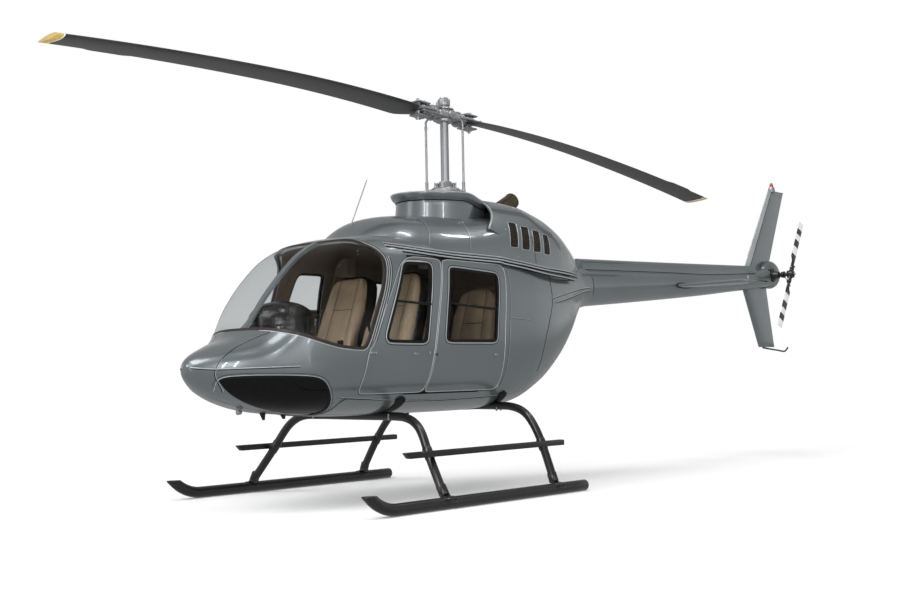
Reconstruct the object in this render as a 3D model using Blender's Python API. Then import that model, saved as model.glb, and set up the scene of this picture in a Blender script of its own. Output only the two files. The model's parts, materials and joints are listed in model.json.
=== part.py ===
"""Light turbine helicopter on skids, in metres: +X aft, +Y starboard, +Z up, ground at z = 0.

Every length along X below is measured from the rotor mast; the airframe empty moves the
whole machine so that its origin lies under the middle of its bounding box.
"""

from math import cos, pi, radians, sin

import bmesh
import bpy
from mathutils import Matrix, Vector

MAST_X = -1.23
GAP = 0.0003
SHUT_GAP = 0.008

# Airframe
WALL = 0.030
NOSE_SEAM_X = -1.66
BULKHEAD_X = 0.76
BOOM_START_X = 1.83
FLOOR_TOP_Z = 0.800
FLOOR_THICK = 0.025
SILL_Z = 0.815
ROOF_LINE_Z = 1.880
BOOM_WALL = 0.006
COVER_WALL = 0.008

# Landing gear
SKID_RADIUS = 0.044
SKID_HALF_TRACK = 1.143
SKID_REAR_X = 0.370
TOE_START_X = -1.760
TOE_BEND = 0.360
CROSS_RADIUS = 0.036
FRONT_TUBE_X = -1.245
FRONT_TUBE_TOP_X = -1.120
REAR_TUBE_X = 0.016
REAR_TUBE_TOP_X = 0.100
FOOT_Z = 0.128
STEP_Y = 0.945
STEP_Z = 0.392

# Main rotor
HUB_Z = 3.231
ROTOR_RADIUS = 3.60
BLADE_CHORD = 0.29
BLADE_AZIMUTH = radians(176.75)
TEETER_SLOPE = 0.0746
TIP_DROOP = 0.22
ROOT_DIP = 0.045
ROOT_TWIST = radians(10)
HEAD_DROP = 0.036
BLADE_ROOT = 0.40
MAST_RADIUS = 0.036
GRIP_RADIUS = 0.058
GRIP_END = 0.415
LINK_REACH = 0.120

# Tail
TAIL_AXIS_X = 5.486
TAIL_AXIS_Y = -0.334
TAIL_AXIS_Z = 2.033
TAIL_RADIUS = 0.683
TAIL_CHORD = 0.105
TAIL_BLADE_ANGLE = radians(61.6)
FIN_Y = 0.045
STABILIZER_X = 3.36
STABILIZER_Z = 1.838
STABILIZER_SPAN = 1.966
STABILIZER_CHORD = 0.40

# Door hinge axes at the hinge, outside the skin; each leans aft with height, along the door's front edge
HINGE_Z = 1.130
CREW_HINGE_X = -1.530
CREW_HINGE_Y = -0.657
CREW_HINGE_LEAN = 0.200
REAR_HINGE_X = -0.836
REAR_HINGE_Y = -0.672
REAR_HINGE_LEAN = 0.163
KNUCKLE_RADIUS = 0.007
KNUCKLE_LENGTH = 0.022

# x, bottom z, widest z, top z, half width, upper exponent, lower exponent
BODY = (
    (-2.695, 1.008, 1.035, 1.062, 0.026, 2.0, 2.0),
    (-2.675, 0.960, 1.035, 1.098, 0.080, 2.0, 2.0),
    (-2.605, 0.895, 1.032, 1.145, 0.168, 2.1, 2.1),
    (-2.480, 0.822, 1.035, 1.195, 0.282, 2.2, 2.3),
    (-2.300, 0.758, 1.045, 1.255, 0.402, 2.3, 2.5),
    (-2.150, 0.722, 1.060, 1.340, 0.492, 2.4, 2.6),
    (-1.990, 0.698, 1.085, 1.510, 0.558, 2.6, 2.8),
    (-1.820, 0.684, 1.120, 1.690, 0.605, 2.8, 2.9),
    (-1.640, 0.672, 1.180, 1.860, 0.635, 3.0, 3.0),
    (-1.450, 0.663, 1.260, 1.990, 0.652, 3.4, 3.1),
    (-1.240, 0.660, 1.320, 2.055, 0.660, 4.0, 3.2),
    (-0.900, 0.660, 1.350, 2.060, 0.660, 4.5, 3.2),
    (-0.300, 0.660, 1.350, 2.020, 0.660, 4.5, 3.2),
    (0.100, 0.665, 1.350, 1.985, 0.655, 4.3, 3.2),
    (0.400, 0.690, 1.350, 1.960, 0.635, 4.0, 3.0),
    (0.700, 0.790, 1.370, 1.945, 0.580, 3.6, 2.8),
    (1.000, 0.950, 1.440, 1.940, 0.490, 3.2, 2.6),
    (1.280, 1.165, 1.550, 1.945, 0.385, 2.8, 2.5),
    (1.500, 1.400, 1.655, 1.950, 0.290, 2.6, 2.4),
    (1.670, 1.545, 1.735, 1.955, 0.225, 2.4, 2.3),
    (1.900, 1.580, 1.765, 1.960, 0.190, 2.2, 2.2),
)

# x, base z, top z, half width, exponent
FRONT_COWL = (
    (-1.245, 1.90, 2.045, 0.100, 2.0),
    (-1.170, 1.90, 2.118, 0.240, 2.1),
    (-1.085, 1.90, 2.175, 0.325, 2.2),
    (-0.980, 1.90, 2.218, 0.390, 2.3),
    (-0.830, 1.90, 2.250, 0.450, 2.4),
    (-0.580, 1.90, 2.275, 0.500, 2.5),
    (-0.200, 1.88, 2.290, 0.535, 2.6),
    (0.140, 1.88, 2.290, 0.540, 2.6),
)
ENGINE_COWL = (
    (0.145, 1.86, 2.480, 0.535, 2.5),
    (0.550, 1.86, 2.475, 0.525, 2.5),
    (0.880, 1.86, 2.420, 0.480, 2.4),
    (1.120, 1.86, 2.340, 0.420, 2.3),
    (1.350, 1.86, 2.225, 0.335, 2.2),
    (1.560, 1.86, 2.085, 0.225, 2.1),
    (1.720, 1.86, 1.975, 0.110, 2.0),
)

# x, middle z, radius
BOOM = (
    (BOOM_START_X + GAP, 1.765, 0.185),
    (2.60, 1.803, 0.165),
    (3.40, 1.845, 0.143),
    (4.05, 1.880, 0.122),
    (4.70, 1.928, 0.106),
    (5.20, 1.965, 0.098),
)
# x, low z, high z, half width
SHAFT_COVER = (
    (BOOM_START_X + GAP, 1.90, 2.050, 0.085),
    (2.60, 1.93, 2.068, 0.080),
    (4.05, 1.965, 2.106, 0.072),
    (5.05, 2.01, 2.134, 0.062),
    (5.20, 2.02, 2.138, 0.060),
)

ALONG_X = (1, 0, 0)
ALONG_Y = (0, 1, 0)

# Side outlines, x and z
WINDSHIELD = (
    (-2.45, 1.380), (-2.21, 1.318), (-2.13, 1.290), (-2.00, 1.243), (-1.87, 1.198),
    (-1.77, 1.174), (-1.63, 1.161), (-1.565, 1.162), (-1.525, 1.215), (-1.450, 1.408),
    (-1.378, 1.587), (-1.341, 1.708), (-1.320, 1.807), (-1.325, 1.870), (-1.357, 1.933),
    (-1.389, 1.969), (-1.395, 2.40), (-2.45, 2.40),
)
CREW_DOOR = (
    (-1.560, 0.824), (-1.585, 0.850), (-1.585, 0.906), (-1.536, 1.149), (-1.478, 1.214),
    (-1.357, 1.500), (-1.217, 1.774), (-1.144, 1.845), (-1.045, 1.876), (-0.800, 1.872),
    (-0.750, 1.862), (-0.731, 1.835), (-0.847, 1.123), (-0.880, 0.902), (-0.889, 0.864),
    (-0.903, 0.838), (-0.932, 0.824),
)
REAR_DOOR = (
    (-0.855, 0.824), (-0.880, 0.838), (-0.887, 0.864), (-0.880, 0.902), (-0.847, 1.123),
    (-0.731, 1.835), (-0.710, 1.862), (-0.650, 1.872), (-0.030, 1.866), (0.025, 1.852),
    (0.046, 1.822), (0.024, 1.633), (-0.004, 1.238), (-0.013, 1.041), (-0.025, 0.870),
    (-0.038, 0.842), (-0.075, 0.824),
)
CREW_WINDOW = (
    (-1.350, 1.225), (-1.320, 1.212), (-0.970, 1.208), (-0.935, 1.222), (-0.925, 1.260),
    (-0.856, 1.780), (-0.862, 1.812), (-0.890, 1.825), (-1.115, 1.823), (-1.148, 1.806),
    (-1.172, 1.765), (-1.360, 1.262),
)
REAR_WINDOW = (
    (-0.712, 1.235), (-0.680, 1.218), (-0.150, 1.218), (-0.122, 1.232), (-0.115, 1.262),
    (-0.074, 1.735), (-0.082, 1.765), (-0.110, 1.778), (-0.615, 1.802), (-0.645, 1.790),
    (-0.655, 1.760), (-0.715, 1.265),
)
CHIN_WINDOW = (
    (-2.600, 0.940), (-2.560, 0.968), (-2.420, 0.979), (-2.218, 0.977), (-1.980, 0.964),
    (-1.900, 0.935), (-1.838, 0.854), (-1.763, 0.748), (-1.720, 0.690), (-1.760, 0.600),
    (-2.450, 0.600), (-2.600, 0.860),
)
CHIN_INNER_Y = 0.20

COLOURS = {
    "paint": ((0.155, 0.180, 0.188), 0.30, 0.60),
    "trim": ((0.030, 0.022, 0.016), 0.50, 0.0),
    "black": ((0.010, 0.010, 0.011), 0.38, 0.0),
    "blade": ((0.020, 0.021, 0.022), 0.45, 0.0),
    "steel": ((0.55, 0.56, 0.57), 0.22, 1.0),
    "alloy": ((0.40, 0.40, 0.40), 0.45, 0.8),
    "bronze": ((0.13, 0.085, 0.050), 0.35, 0.9),
    "glass": ((0.80, 0.86, 0.88), 0.05, 0.0),
    "smoked": ((0.020, 0.020, 0.022), 0.06, 0.0),
    "leather": ((0.270, 0.165, 0.090), 0.50, 0.0),
    "lining": ((0.150, 0.090, 0.050), 0.60, 0.0),
    "deck": ((0.130, 0.080, 0.045), 0.70, 0.0),
    "dash": ((0.012, 0.012, 0.012), 0.45, 0.0),
    "lens": ((0.65, 0.08, 0.02), 0.20, 0.0),
    "stripe": ((0.75, 0.75, 0.73), 0.35, 0.0),
}


def clear_scene():
    for obj in list(bpy.data.objects):
        bpy.data.objects.remove(obj, do_unlink=True)


def material(name):
    found = bpy.data.materials.get(name)
    if found:
        return found
    colour, roughness, metallic = COLOURS[name]
    made = bpy.data.materials.new(name)
    made.use_nodes = True
    shader = made.node_tree.nodes["Principled BSDF"]
    shader.inputs["Base Color"].default_value = (*colour, 1)
    shader.inputs["Roughness"].default_value = roughness
    shader.inputs["Metallic"].default_value = metallic
    return made


def empty(name, place, parent=None):
    obj = bpy.data.objects.new(name, None)
    obj.location = place
    obj.parent = parent
    bpy.context.collection.objects.link(obj)
    return obj


def node(name, mesh, finish, origin=(0, 0, 0)):
    """A visible part whose mesh is given in airframe coordinates, with its origin at the point given."""
    mesh.transform(Matrix.Translation(-Vector(origin)))
    obj = bpy.data.objects.new(name, mesh)
    obj.location = origin
    obj.parent = bpy.data.objects["airframe"]
    obj.data.materials.append(material(finish))
    mesh.shade_smooth()
    mesh.set_sharp_from_angle(angle=radians(32))
    bpy.context.collection.objects.link(obj)
    return obj


def cutter(name, mesh):
    obj = bpy.data.objects.new(name, mesh)
    obj.parent = bpy.data.objects["airframe"]
    obj.hide_render = True
    obj.display_type = "WIRE"
    bpy.context.collection.objects.link(obj)
    return obj


def carve(obj, tool, operation="DIFFERENCE"):
    change = obj.modifiers.new(tool.name, "BOOLEAN")
    change.object = tool
    change.operation = operation
    change.solver = "EXACT"


def finished(bm, name):
    """The bmesh as a mesh, with its doubles merged and its faces pointing out."""
    bmesh.ops.remove_doubles(bm, verts=bm.verts, dist=1e-5)
    bmesh.ops.recalc_face_normals(bm, faces=bm.faces)
    mesh = bpy.data.meshes.new(name)
    bm.to_mesh(mesh)
    bm.free()
    return mesh


def smooth_row(table, x):
    """The table's row at x, along a monotone cubic through its rows."""
    k = 0
    while k < len(table) - 2 and x > table[k + 1][0]:
        k += 1
    left, right = table[k], table[k + 1]
    span = right[0] - left[0]
    t = min(max((x - left[0]) / span, 0), 1)
    values = []
    for c in range(1, len(left)):
        rise = (right[c] - left[c]) / span
        before = rise
        after = rise
        if k > 0:
            before = gentle(rise, (left[c] - table[k - 1][c]) / (left[0] - table[k - 1][0]))
        if k < len(table) - 2:
            after = gentle(rise, (table[k + 2][c] - right[c]) / (table[k + 2][0] - right[0]))
        a = (1 + 2 * t) * (1 - t) ** 2 * left[c] + t * (1 - t) ** 2 * span * before
        b = t * t * (3 - 2 * t) * right[c] - t * t * (1 - t) * span * after
        values.append(a + b)
    return values


def gentle(first, second):
    """The slope of a monotone cubic where two straight slopes meet."""
    if first * second <= 0:
        return 0.0
    return 2 * first * second / (first + second)


def power(value, exponent):
    return abs(value) ** (2 / exponent) * (1 if value >= 0 else -1)


def body_ring(x, inset, count):
    low, wide, high, half, upper, lower = smooth_row(BODY, x)
    low, high, half = low + inset, high - inset, half - inset
    ring = []
    for i in range(count):
        angle = 2 * pi * i / count
        shape = upper if sin(angle) >= 0 else lower
        reach = high - wide if sin(angle) >= 0 else wide - low
        ring.append((x, half * power(cos(angle), shape), wide + reach * power(sin(angle), shape)))
    return ring


def cowl_ring(table, x, inset, count):
    base, high, half, shape = smooth_row(table, x)
    ring = []
    for i in range(count + 1):
        angle = pi * i / count
        ring.append((x, (half - inset) * power(cos(angle), shape),
                     base + (high - inset - base) * power(sin(angle), shape)))
    ring.append((x, -(half - inset), base - 0.2))
    ring.append((x, half - inset, base - 0.2))
    return ring


def loft(rings, name):
    """Rings joined by triangles whose diagonals mirror each other across y = 0, so that neighbours fit."""
    bm = bmesh.new()
    rows = [[bm.verts.new(point) for point in ring] for ring in rings]
    for one, two in zip(rows, rows[1:]):
        for i in range(len(one)):
            j = (i + 1) % len(one)
            a, b, c, d = one[i], one[j], two[j], two[i]
            if a.co.y + b.co.y + c.co.y + d.co.y < 0:
                bm.faces.new((a, b, c))
                bm.faces.new((a, c, d))
            else:
                bm.faces.new((a, b, d))
                bm.faces.new((b, c, d))
    bm.faces.new(rows[0])
    bm.faces.new(rows[-1])
    return finished(bm, name)


def stations_between(first_x, last_x):
    """Where the body is lofted: both ends, the table's rows between them and the middle of each long bay."""
    rows = [first_x] + [row[0] for row in BODY if first_x + 0.01 < row[0] < last_x - 0.01] + [last_x]
    stations = []
    for one, two in zip(rows, rows[1:]):
        stations.append(one)
        if two - one > 0.30:
            stations.append((one + two) / 2)
    return stations + [last_x]


def body_solid(inset, first_x, last_x, name, count=32):
    return loft([body_ring(x, inset, count) for x in stations_between(first_x, last_x)], name)


def body_envelope(inset, name):
    """The whole body in one solid, with the same facets as its separate shells."""
    stations = stations_between(-2.60, NOSE_SEAM_X)[:-1]
    stations += stations_between(NOSE_SEAM_X, BULKHEAD_X)[:-1]
    stations += stations_between(BULKHEAD_X, BOOM_START_X)
    return loft([body_ring(x, inset, 32) for x in stations], name)


def skin_y(x, z):
    """Half the width of the body at x and z."""
    low, wide, high, half, upper, lower = smooth_row(BODY, x)
    shape = upper if z > wide else lower
    part = (z - wide) / (high - wide) if z > wide else (wide - z) / (wide - low)
    return half * (1 - part ** shape) ** (1 / shape)


def cowl_solid(table, inset, first_x, last_x, name):
    stations = [first_x] + [row[0] for row in table if first_x + 0.01 < row[0] < last_x - 0.01]
    stations.append(last_x)
    return loft([cowl_ring(table, x, inset, 18) for x in stations], name)


def prism(outline, low_y, high_y, name, grow=0.0):
    """A side outline of x and z, grown outwards, and drawn out from low y to high y."""
    points = grown(outline, grow) if grow else outline
    bm = bmesh.new()
    face = bm.faces.new([bm.verts.new((x, low_y, z)) for x, z in points])
    pulled = bmesh.ops.extrude_face_region(bm, geom=[face])
    verts = [v for v in pulled["geom"] if isinstance(v, bmesh.types.BMVert)]
    bmesh.ops.translate(bm, verts=verts, vec=(0, high_y - low_y, 0))
    return finished(bm, name)


def grown(outline, distance):
    """The outline moved outwards by the distance at every edge."""
    area = 0
    for (x1, z1), (x2, z2) in zip(outline, outline[1:] + outline[:1]):
        area += x1 * z2 - x2 * z1
    side = 1 if area > 0 else -1
    moved = []
    count = len(outline)
    for i in range(count):
        before, here, after = (Vector(outline[(i + k) % count]) for k in (-1, 0, 1))
        one = (here - before).normalized()
        two = (after - here).normalized()
        out_one = Vector((one.y, -one.x)) * side
        out_two = Vector((two.y, -two.x)) * side
        middle = (out_one + out_two).normalized()
        moved.append(tuple(here + middle * distance / max(middle.dot(out_one), 0.5)))
    return tuple(moved)


def block(low, high, name):
    bm = bmesh.new()
    bmesh.ops.create_cube(bm, size=1)
    size = Vector(high) - Vector(low)
    bmesh.ops.scale(bm, verts=bm.verts, vec=size)
    bmesh.ops.translate(bm, verts=bm.verts, vec=Vector(low) + size / 2)
    return finished(bm, name)


def turned(profile, name, sides=24, stretch=(1, 1, 1), turn=None, place=(0, 0, 0)):
    """A closed profile of radius and height spun about Z, then stretched, turned and placed."""
    bm = bmesh.new()
    rim = [bm.verts.new((r, 0, z)) for r, z in profile]
    edges = [bm.edges.new((a, b)) for a, b in zip(rim, rim[1:])]
    if profile[0][0] > 0:
        edges.append(bm.edges.new((rim[-1], rim[0])))
    bmesh.ops.spin(bm, geom=rim + edges, cent=(0, 0, 0), axis=(0, 0, 1), angle=2 * pi,
                   steps=sides, use_merge=True)
    bmesh.ops.scale(bm, verts=bm.verts, vec=stretch)
    if turn:
        bmesh.ops.rotate(bm, verts=bm.verts, cent=(0, 0, 0), matrix=turn)
    bmesh.ops.translate(bm, verts=bm.verts, vec=place)
    return finished(bm, name)


def rod(start, end, radius, name, sides=16, end_radius=None):
    start, end = Vector(start), Vector(end)
    along = end - start
    bm = bmesh.new()
    bmesh.ops.create_cone(bm, cap_ends=True, segments=sides, radius1=radius,
                          radius2=radius if end_radius is None else end_radius, depth=along.length)
    bmesh.ops.rotate(bm, verts=bm.verts, cent=(0, 0, 0), matrix=along.to_track_quat("Z", "Y").to_matrix())
    bmesh.ops.translate(bm, verts=bm.verts, vec=(start + end) / 2)
    return finished(bm, name)


def tube(points, radius, name, across, sides=14):
    """A round bar along points that lie in one plane, given the direction across that plane."""
    points = [Vector(p) for p in points]
    across = Vector(across)
    rings = []
    for i, point in enumerate(points):
        before = points[max(i - 1, 0)]
        after = points[min(i + 1, len(points) - 1)]
        other = (after - before).normalized().cross(across)
        ring = []
        for k in range(sides):
            angle = 2 * pi * k / sides
            ring.append(point + (across * cos(angle) + other * sin(angle)) * radius)
        rings.append(ring)
    return loft(rings, name)


def rounded_path(corners, radius, steps=5):
    """The corners joined by straight runs, with an arc of about the radius at each inner one."""
    corners = [Vector(c) for c in corners]
    path = [corners[0]]
    for before, here, after in zip(corners, corners[1:], corners[2:]):
        reach = min(radius, (here - before).length * 0.45, (after - here).length * 0.45)
        start = here + (before - here).normalized() * reach
        end = here + (after - here).normalized() * reach
        for k in range(steps + 1):
            t = k / steps
            path.append(start * (1 - t) ** 2 + here * 2 * t * (1 - t) + end * t * t)
    path.append(corners[-1])
    return path


def joined(meshes, name):
    """The first mesh with the others fused to it."""
    base = bpy.data.objects.new(name + "_base", meshes[0])
    bpy.context.collection.objects.link(base)
    helpers = [base]
    for i, mesh in enumerate(meshes[1:]):
        tool = bpy.data.objects.new(f"{name}_add_{i}", mesh)
        bpy.context.collection.objects.link(tool)
        helpers.append(tool)
        change = base.modifiers.new("fuse", "BOOLEAN")
        change.object = tool
        change.operation = "UNION"
        change.solver = "EXACT"
    graph = bpy.context.evaluated_depsgraph_get()
    result = bpy.data.meshes.new_from_object(base.evaluated_get(graph))
    for helper in helpers:
        bpy.data.objects.remove(helper, do_unlink=True)
    return result


def starboard_copy(port):
    """The finished port part again on the other side of the plane y = 0."""
    graph = bpy.context.evaluated_depsgraph_get()
    mesh = bpy.data.meshes.new_from_object(port.evaluated_get(graph))
    mesh.transform(Matrix.Scale(-1, 4, (0, 1, 0)))
    mesh.flip_normals()
    obj = bpy.data.objects.new(port.name.replace("port", "starboard"), mesh)
    x, y, z = port.location
    obj.location = (x, -y, z)
    obj.parent = port.parent
    bpy.context.collection.objects.link(obj)
    return obj


def section_of(chord, thick, count=7):
    """A symmetric aerofoil from its nose at +chord/4 back to -3 chord/4, as pairs along and up."""
    upper = []
    for i in range(count + 1):
        t = (1 - cos(pi * i / count)) / 2
        lift = 5 * thick * (0.2969 * t ** 0.5 - 0.126 * t - 0.3516 * t ** 2 + 0.2843 * t ** 3 - 0.1036 * t ** 4)
        upper.append((chord * (0.25 - t), lift * chord))
    lower = [(a, -b) for a, b in reversed(upper[1:-1])]
    tail = [(upper[-1][0], 0.0)]
    return upper[:-1] + tail + lower


def shell_cutters():
    tools = {
        "inner": cutter("cut_inner", body_solid(WALL, -2.56, 1.80, "cut_inner")),
        "pane_inner": cutter("cut_pane_inner", body_solid(0.012, -2.62, 1.85, "cut_pane_inner")),
        "windshield": cutter("cut_windshield", prism(WINDSHIELD, -0.8, 0.8, "cut_windshield")),
    }
    return tools


def port_prism(outline, name, grow=0.0, near=0.30):
    return prism(outline, -0.9, -near, name, grow)


def make_nose(tools):
    shell = node("nose_shell", body_solid(0, -2.695, NOSE_SEAM_X, "nose_shell"), "paint")
    carve(shell, tools["inner"])
    carve(shell, tools["windshield"])
    carve(shell, cutter("cut_chin_port", port_prism(CHIN_WINDOW, "chin", near=CHIN_INNER_Y)))
    carve(shell, cutter("cut_chin_starboard", prism(CHIN_WINDOW, CHIN_INNER_Y, 0.9, "chin")))
    glass = node("chin_window_port", body_solid(0.003, -2.70, NOSE_SEAM_X - 0.01, "chin"), "smoked")
    carve(glass, tools["pane_inner"])
    fit = cutter("cut_chin_pane", port_prism(CHIN_WINDOW, "pane", -GAP, near=CHIN_INNER_Y + GAP))
    carve(glass, fit, "INTERSECT")
    starboard_copy(glass)


def make_windshield(tools):
    post_half = 0.028
    post = node("centre_post", body_solid(0, -2.40, -1.30, "centre_post"), "trim")
    carve(post, tools["inner"])
    slot = cutter("cut_post", block((-2.5, -post_half + GAP, 1.2), (-1.2, post_half - GAP, 2.4), "post"))
    carve(post, slot, "INTERSECT")
    fit = cutter("cut_post_fit", prism(WINDSHIELD, -0.8, 0.8, "post_fit", -GAP))
    carve(post, fit, "INTERSECT")
    pane = node("windshield_port", body_solid(0.002, -2.45, -1.25, "pane"), "glass")
    carve(pane, tools["pane_inner"])
    reach = cutter("cut_pane", prism(WINDSHIELD, -0.8, -post_half, "pane_fit", -GAP))
    carve(pane, reach, "INTERSECT")
    starboard_copy(pane)


def make_cabin_shell(tools):
    shell = body_solid(0, NOSE_SEAM_X + GAP, BULKHEAD_X - GAP, "cabin")
    regions = {
        "roof_shell": block((-2, -0.8, ROOF_LINE_Z + GAP), (1, 0.8, 2.4), "roof"),
        "belly_shell": block((-2, -0.8, 0.5), (1, 0.8, SILL_Z - GAP), "belly"),
        "front_post_port": block((-2, -0.8, SILL_Z), (-1.1, -0.25, ROOF_LINE_Z), "post"),
        "side_panel_port": block((-0.25, -0.8, SILL_Z), (1, -0.25, ROOF_LINE_Z), "side"),
    }
    for name, region in regions.items():
        piece = node(name, shell.copy(), "paint")
        if name in ("roof_shell", "front_post_port"):
            carve(piece, tools["windshield"])
        carve(piece, tools["inner"])
        carve(piece, cutter("cut_" + name, region), "INTERSECT")
    front = bpy.data.objects["front_post_port"]
    carve(front, cutter("cut_crew", port_prism(CREW_DOOR, "crew", SHUT_GAP / 2)))
    carve(front, cutter("add_crew_hinge_post", crew_hinge_bracket()), "UNION")
    starboard_copy(front)
    side = bpy.data.objects["side_panel_port"]
    carve(side, cutter("cut_rear", port_prism(REAR_DOOR, "rear", SHUT_GAP / 2)))
    starboard_copy(side)
    belly = bpy.data.objects["belly_shell"]
    for name, half in (("front", front_route(1)), ("rear", rear_route(1))):
        whole = [(x, -y, z) for x, y, z in reversed(half[1:])] + half
        groove = tube(whole, CROSS_RADIUS + GAP, "groove", across_of(half), 12)
        carve(belly, cutter(f"cut_tube_{name}", groove))


def knuckle(x, y, lean, way, name):
    """A hinge barrel on the leaning axis, just above the hinge's middle (way 1) or just below it (way -1)."""
    near = way * GAP
    far = way * KNUCKLE_LENGTH
    return rod((x + lean * near, y, HINGE_Z + near), (x + lean * far, y, HINGE_Z + far), KNUCKLE_RADIUS, name, 12)


def hinge_arm(x, y, way, reach, name):
    """A bar from the barrel to a point inside the wall, the reach further aft."""
    z = HINGE_Z + way * KNUCKLE_LENGTH * 0.55
    end = (x + reach, -skin_y(x + reach, z) + 0.012, z)
    return rod((x, y, z), end, 0.0045, name, 8)


def crew_hinge_bracket():
    barrel = knuckle(CREW_HINGE_X, CREW_HINGE_Y, CREW_HINGE_LEAN, -1, "barrel")
    return joined([barrel, hinge_arm(CREW_HINGE_X, CREW_HINGE_Y, -1, -0.034, "arm")], "bracket")


def rear_hinge_bracket():
    """Barrel on a plate that comes out from the door post through a pocket in the rear door's front edge."""
    barrel = knuckle(REAR_HINGE_X, REAR_HINGE_Y, REAR_HINGE_LEAN, -1, "barrel")
    plate = block((REAR_HINGE_X - 0.007, REAR_HINGE_Y, HINGE_Z - 0.019),
                  (REAR_HINGE_X - 0.001, -0.590, HINGE_Z - 0.005), "plate")
    return joined([barrel, plate], "bracket")


def make_doors(tools):
    shell = body_solid(0, -1.70, 0.10, "door")
    pane = body_solid(0.010, -1.70, 0.10, "door_pane")
    inner = cutter("cut_door_glass", body_solid(0.016, -1.75, 0.15, "cut_door_glass"))
    for kind, outline, window, x, y, lean in (
        ("crew", CREW_DOOR, CREW_WINDOW, CREW_HINGE_X, CREW_HINGE_Y, CREW_HINGE_LEAN),
        ("rear", REAR_DOOR, REAR_WINDOW, REAR_HINGE_X, REAR_HINGE_Y, REAR_HINGE_LEAN),
    ):
        hinge = (x, y, HINGE_Z)
        door = node(f"{kind}_door_port", shell.copy(), "paint", hinge)
        name = f"cut_{kind}_door"
        carve(door, tools["inner"])
        carve(door, cutter(name, port_prism(outline, name, -SHUT_GAP / 2)), "INTERSECT")
        carve(door, cutter(name + "_hole", port_prism(window, name)))
        lip = block((-1.62, -0.545, 0.78), (0.0, -0.40, 0.852), "lip")
        carve(door, cutter(f"cut_{kind}_lip", lip))
        if kind == "rear":
            pocket = block((x - 0.030, -0.75, HINGE_Z - 0.026), (x + 0.012, -0.50, HINGE_Z + 0.001), "pocket")
            carve(door, cutter("cut_hinge_pocket", pocket))
        moving = joined([knuckle(x, y, lean, 1, "barrel"), hinge_arm(x, y, 1, 0.036, "arm")], "moving")
        carve(door, cutter(f"add_{kind}_hinge", moving), "UNION")
        starboard_copy(door)
        glass = node(f"{kind}_window_port", pane.copy(), "glass", hinge)
        carve(glass, inner)
        carve(glass, cutter(name + "_pane", port_prism(window, name, -GAP)), "INTERSECT")
        starboard_copy(glass)


def make_inside(tools):
    floor = node("cabin_floor", body_solid(WALL + GAP, -1.99, 0.40, "floor"), "deck")
    slab = block((-2.1, -0.8, FLOOR_TOP_Z - FLOOR_THICK), (0.5, 0.8, FLOOR_TOP_Z), "slab")
    carve(floor, cutter("cut_floor", slab), "INTERSECT")
    wall = node("cabin_rear_wall", body_solid(WALL + GAP, 0.10, 0.40, "wall"), "lining")
    above = block((0.30, -0.8, FLOOR_TOP_Z + GAP), (0.33, 0.8, 2.2), "above")
    carve(wall, cutter("cut_wall", above), "INTERSECT")
    lower = prism(((-0.95, FLOOR_TOP_Z + GAP), (-0.84, FLOOR_TOP_Z + GAP), (-0.80, 1.123), (-0.685, 1.81),
                   (-0.775, 1.81), (-0.895, 1.123)), -0.618, -0.575, "post")
    head = prism(((-0.685, 1.80), (-0.68, 1.95), (-0.78, 1.95), (-0.775, 1.80)), -0.60, -0.42, "head")
    foot = block((-0.93, -0.61, FLOOR_TOP_Z + GAP), (-0.84, -0.445, 0.976), "foot")
    post = node("door_post_port", joined([lower, head, foot], "post"), "lining")
    carve(post, cutter("cut_post_in", body_solid(WALL + 0.012, -1.2, -0.4, "keep")), "INTERSECT")
    carve(post, cutter("add_rear_hinge", rear_hinge_bracket()), "UNION")
    starboard_copy(post)
    make_seats()
    make_bench()
    make_dash()


def make_seats():
    """Front seats: a thick cushion and a tall back that leans aft, on a narrower base."""
    outline = (
        (-1.44, 0.98), (-1.46, 1.06), (-1.44, 1.12), (-1.39, 1.15), (-1.04, 1.13),
        (-1.00, 1.20), (-0.88, 1.52), (-0.81, 1.72), (-0.77, 1.765), (-0.715, 1.765),
        (-0.68, 1.72), (-0.70, 1.55), (-0.86, 1.02), (-0.90, 0.98),
    )
    base = block((-1.36, -0.44, FLOOR_TOP_Z + GAP), (-0.94, -0.16, 0.99), "base")
    seat = joined([prism(outline, -0.53, -0.08, "seat"), base], "seat")
    starboard_copy(node("front_seat_port", seat, "leather"))


def make_bench():
    outline = (
        (-0.46, 0.98), (-0.48, 1.06), (-0.46, 1.12), (-0.41, 1.15), (-0.06, 1.13),
        (-0.03, 1.20), (0.05, 1.52), (0.10, 1.68), (0.14, 1.72), (0.20, 1.72),
        (0.235, 1.68), (0.235, 0.98),
    )
    base = block((-0.38, -0.44, FLOOR_TOP_Z + GAP), (0.20, 0.44, 0.99), "base")
    node("rear_bench", joined([prism(outline, -0.53, 0.53, "bench"), base], "bench"), "leather")


def make_dash():
    hood = turned(((0, 0.0), (0.215, 0.0), (0.23, 0.05), (0.215, 0.12), (0.16, 0.18), (0.08, 0.21),
                   (0, 0.215)), "hood", 24, (0.95, 1.05, 1.0), None, (-1.72, 0, 1.325))
    stand = block((-1.86, -0.13, FLOOR_TOP_Z + GAP), (-1.66, 0.13, 1.40), "stand")
    node("instrument_panel", joined([hood, stand], "dash"), "dash")


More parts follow.
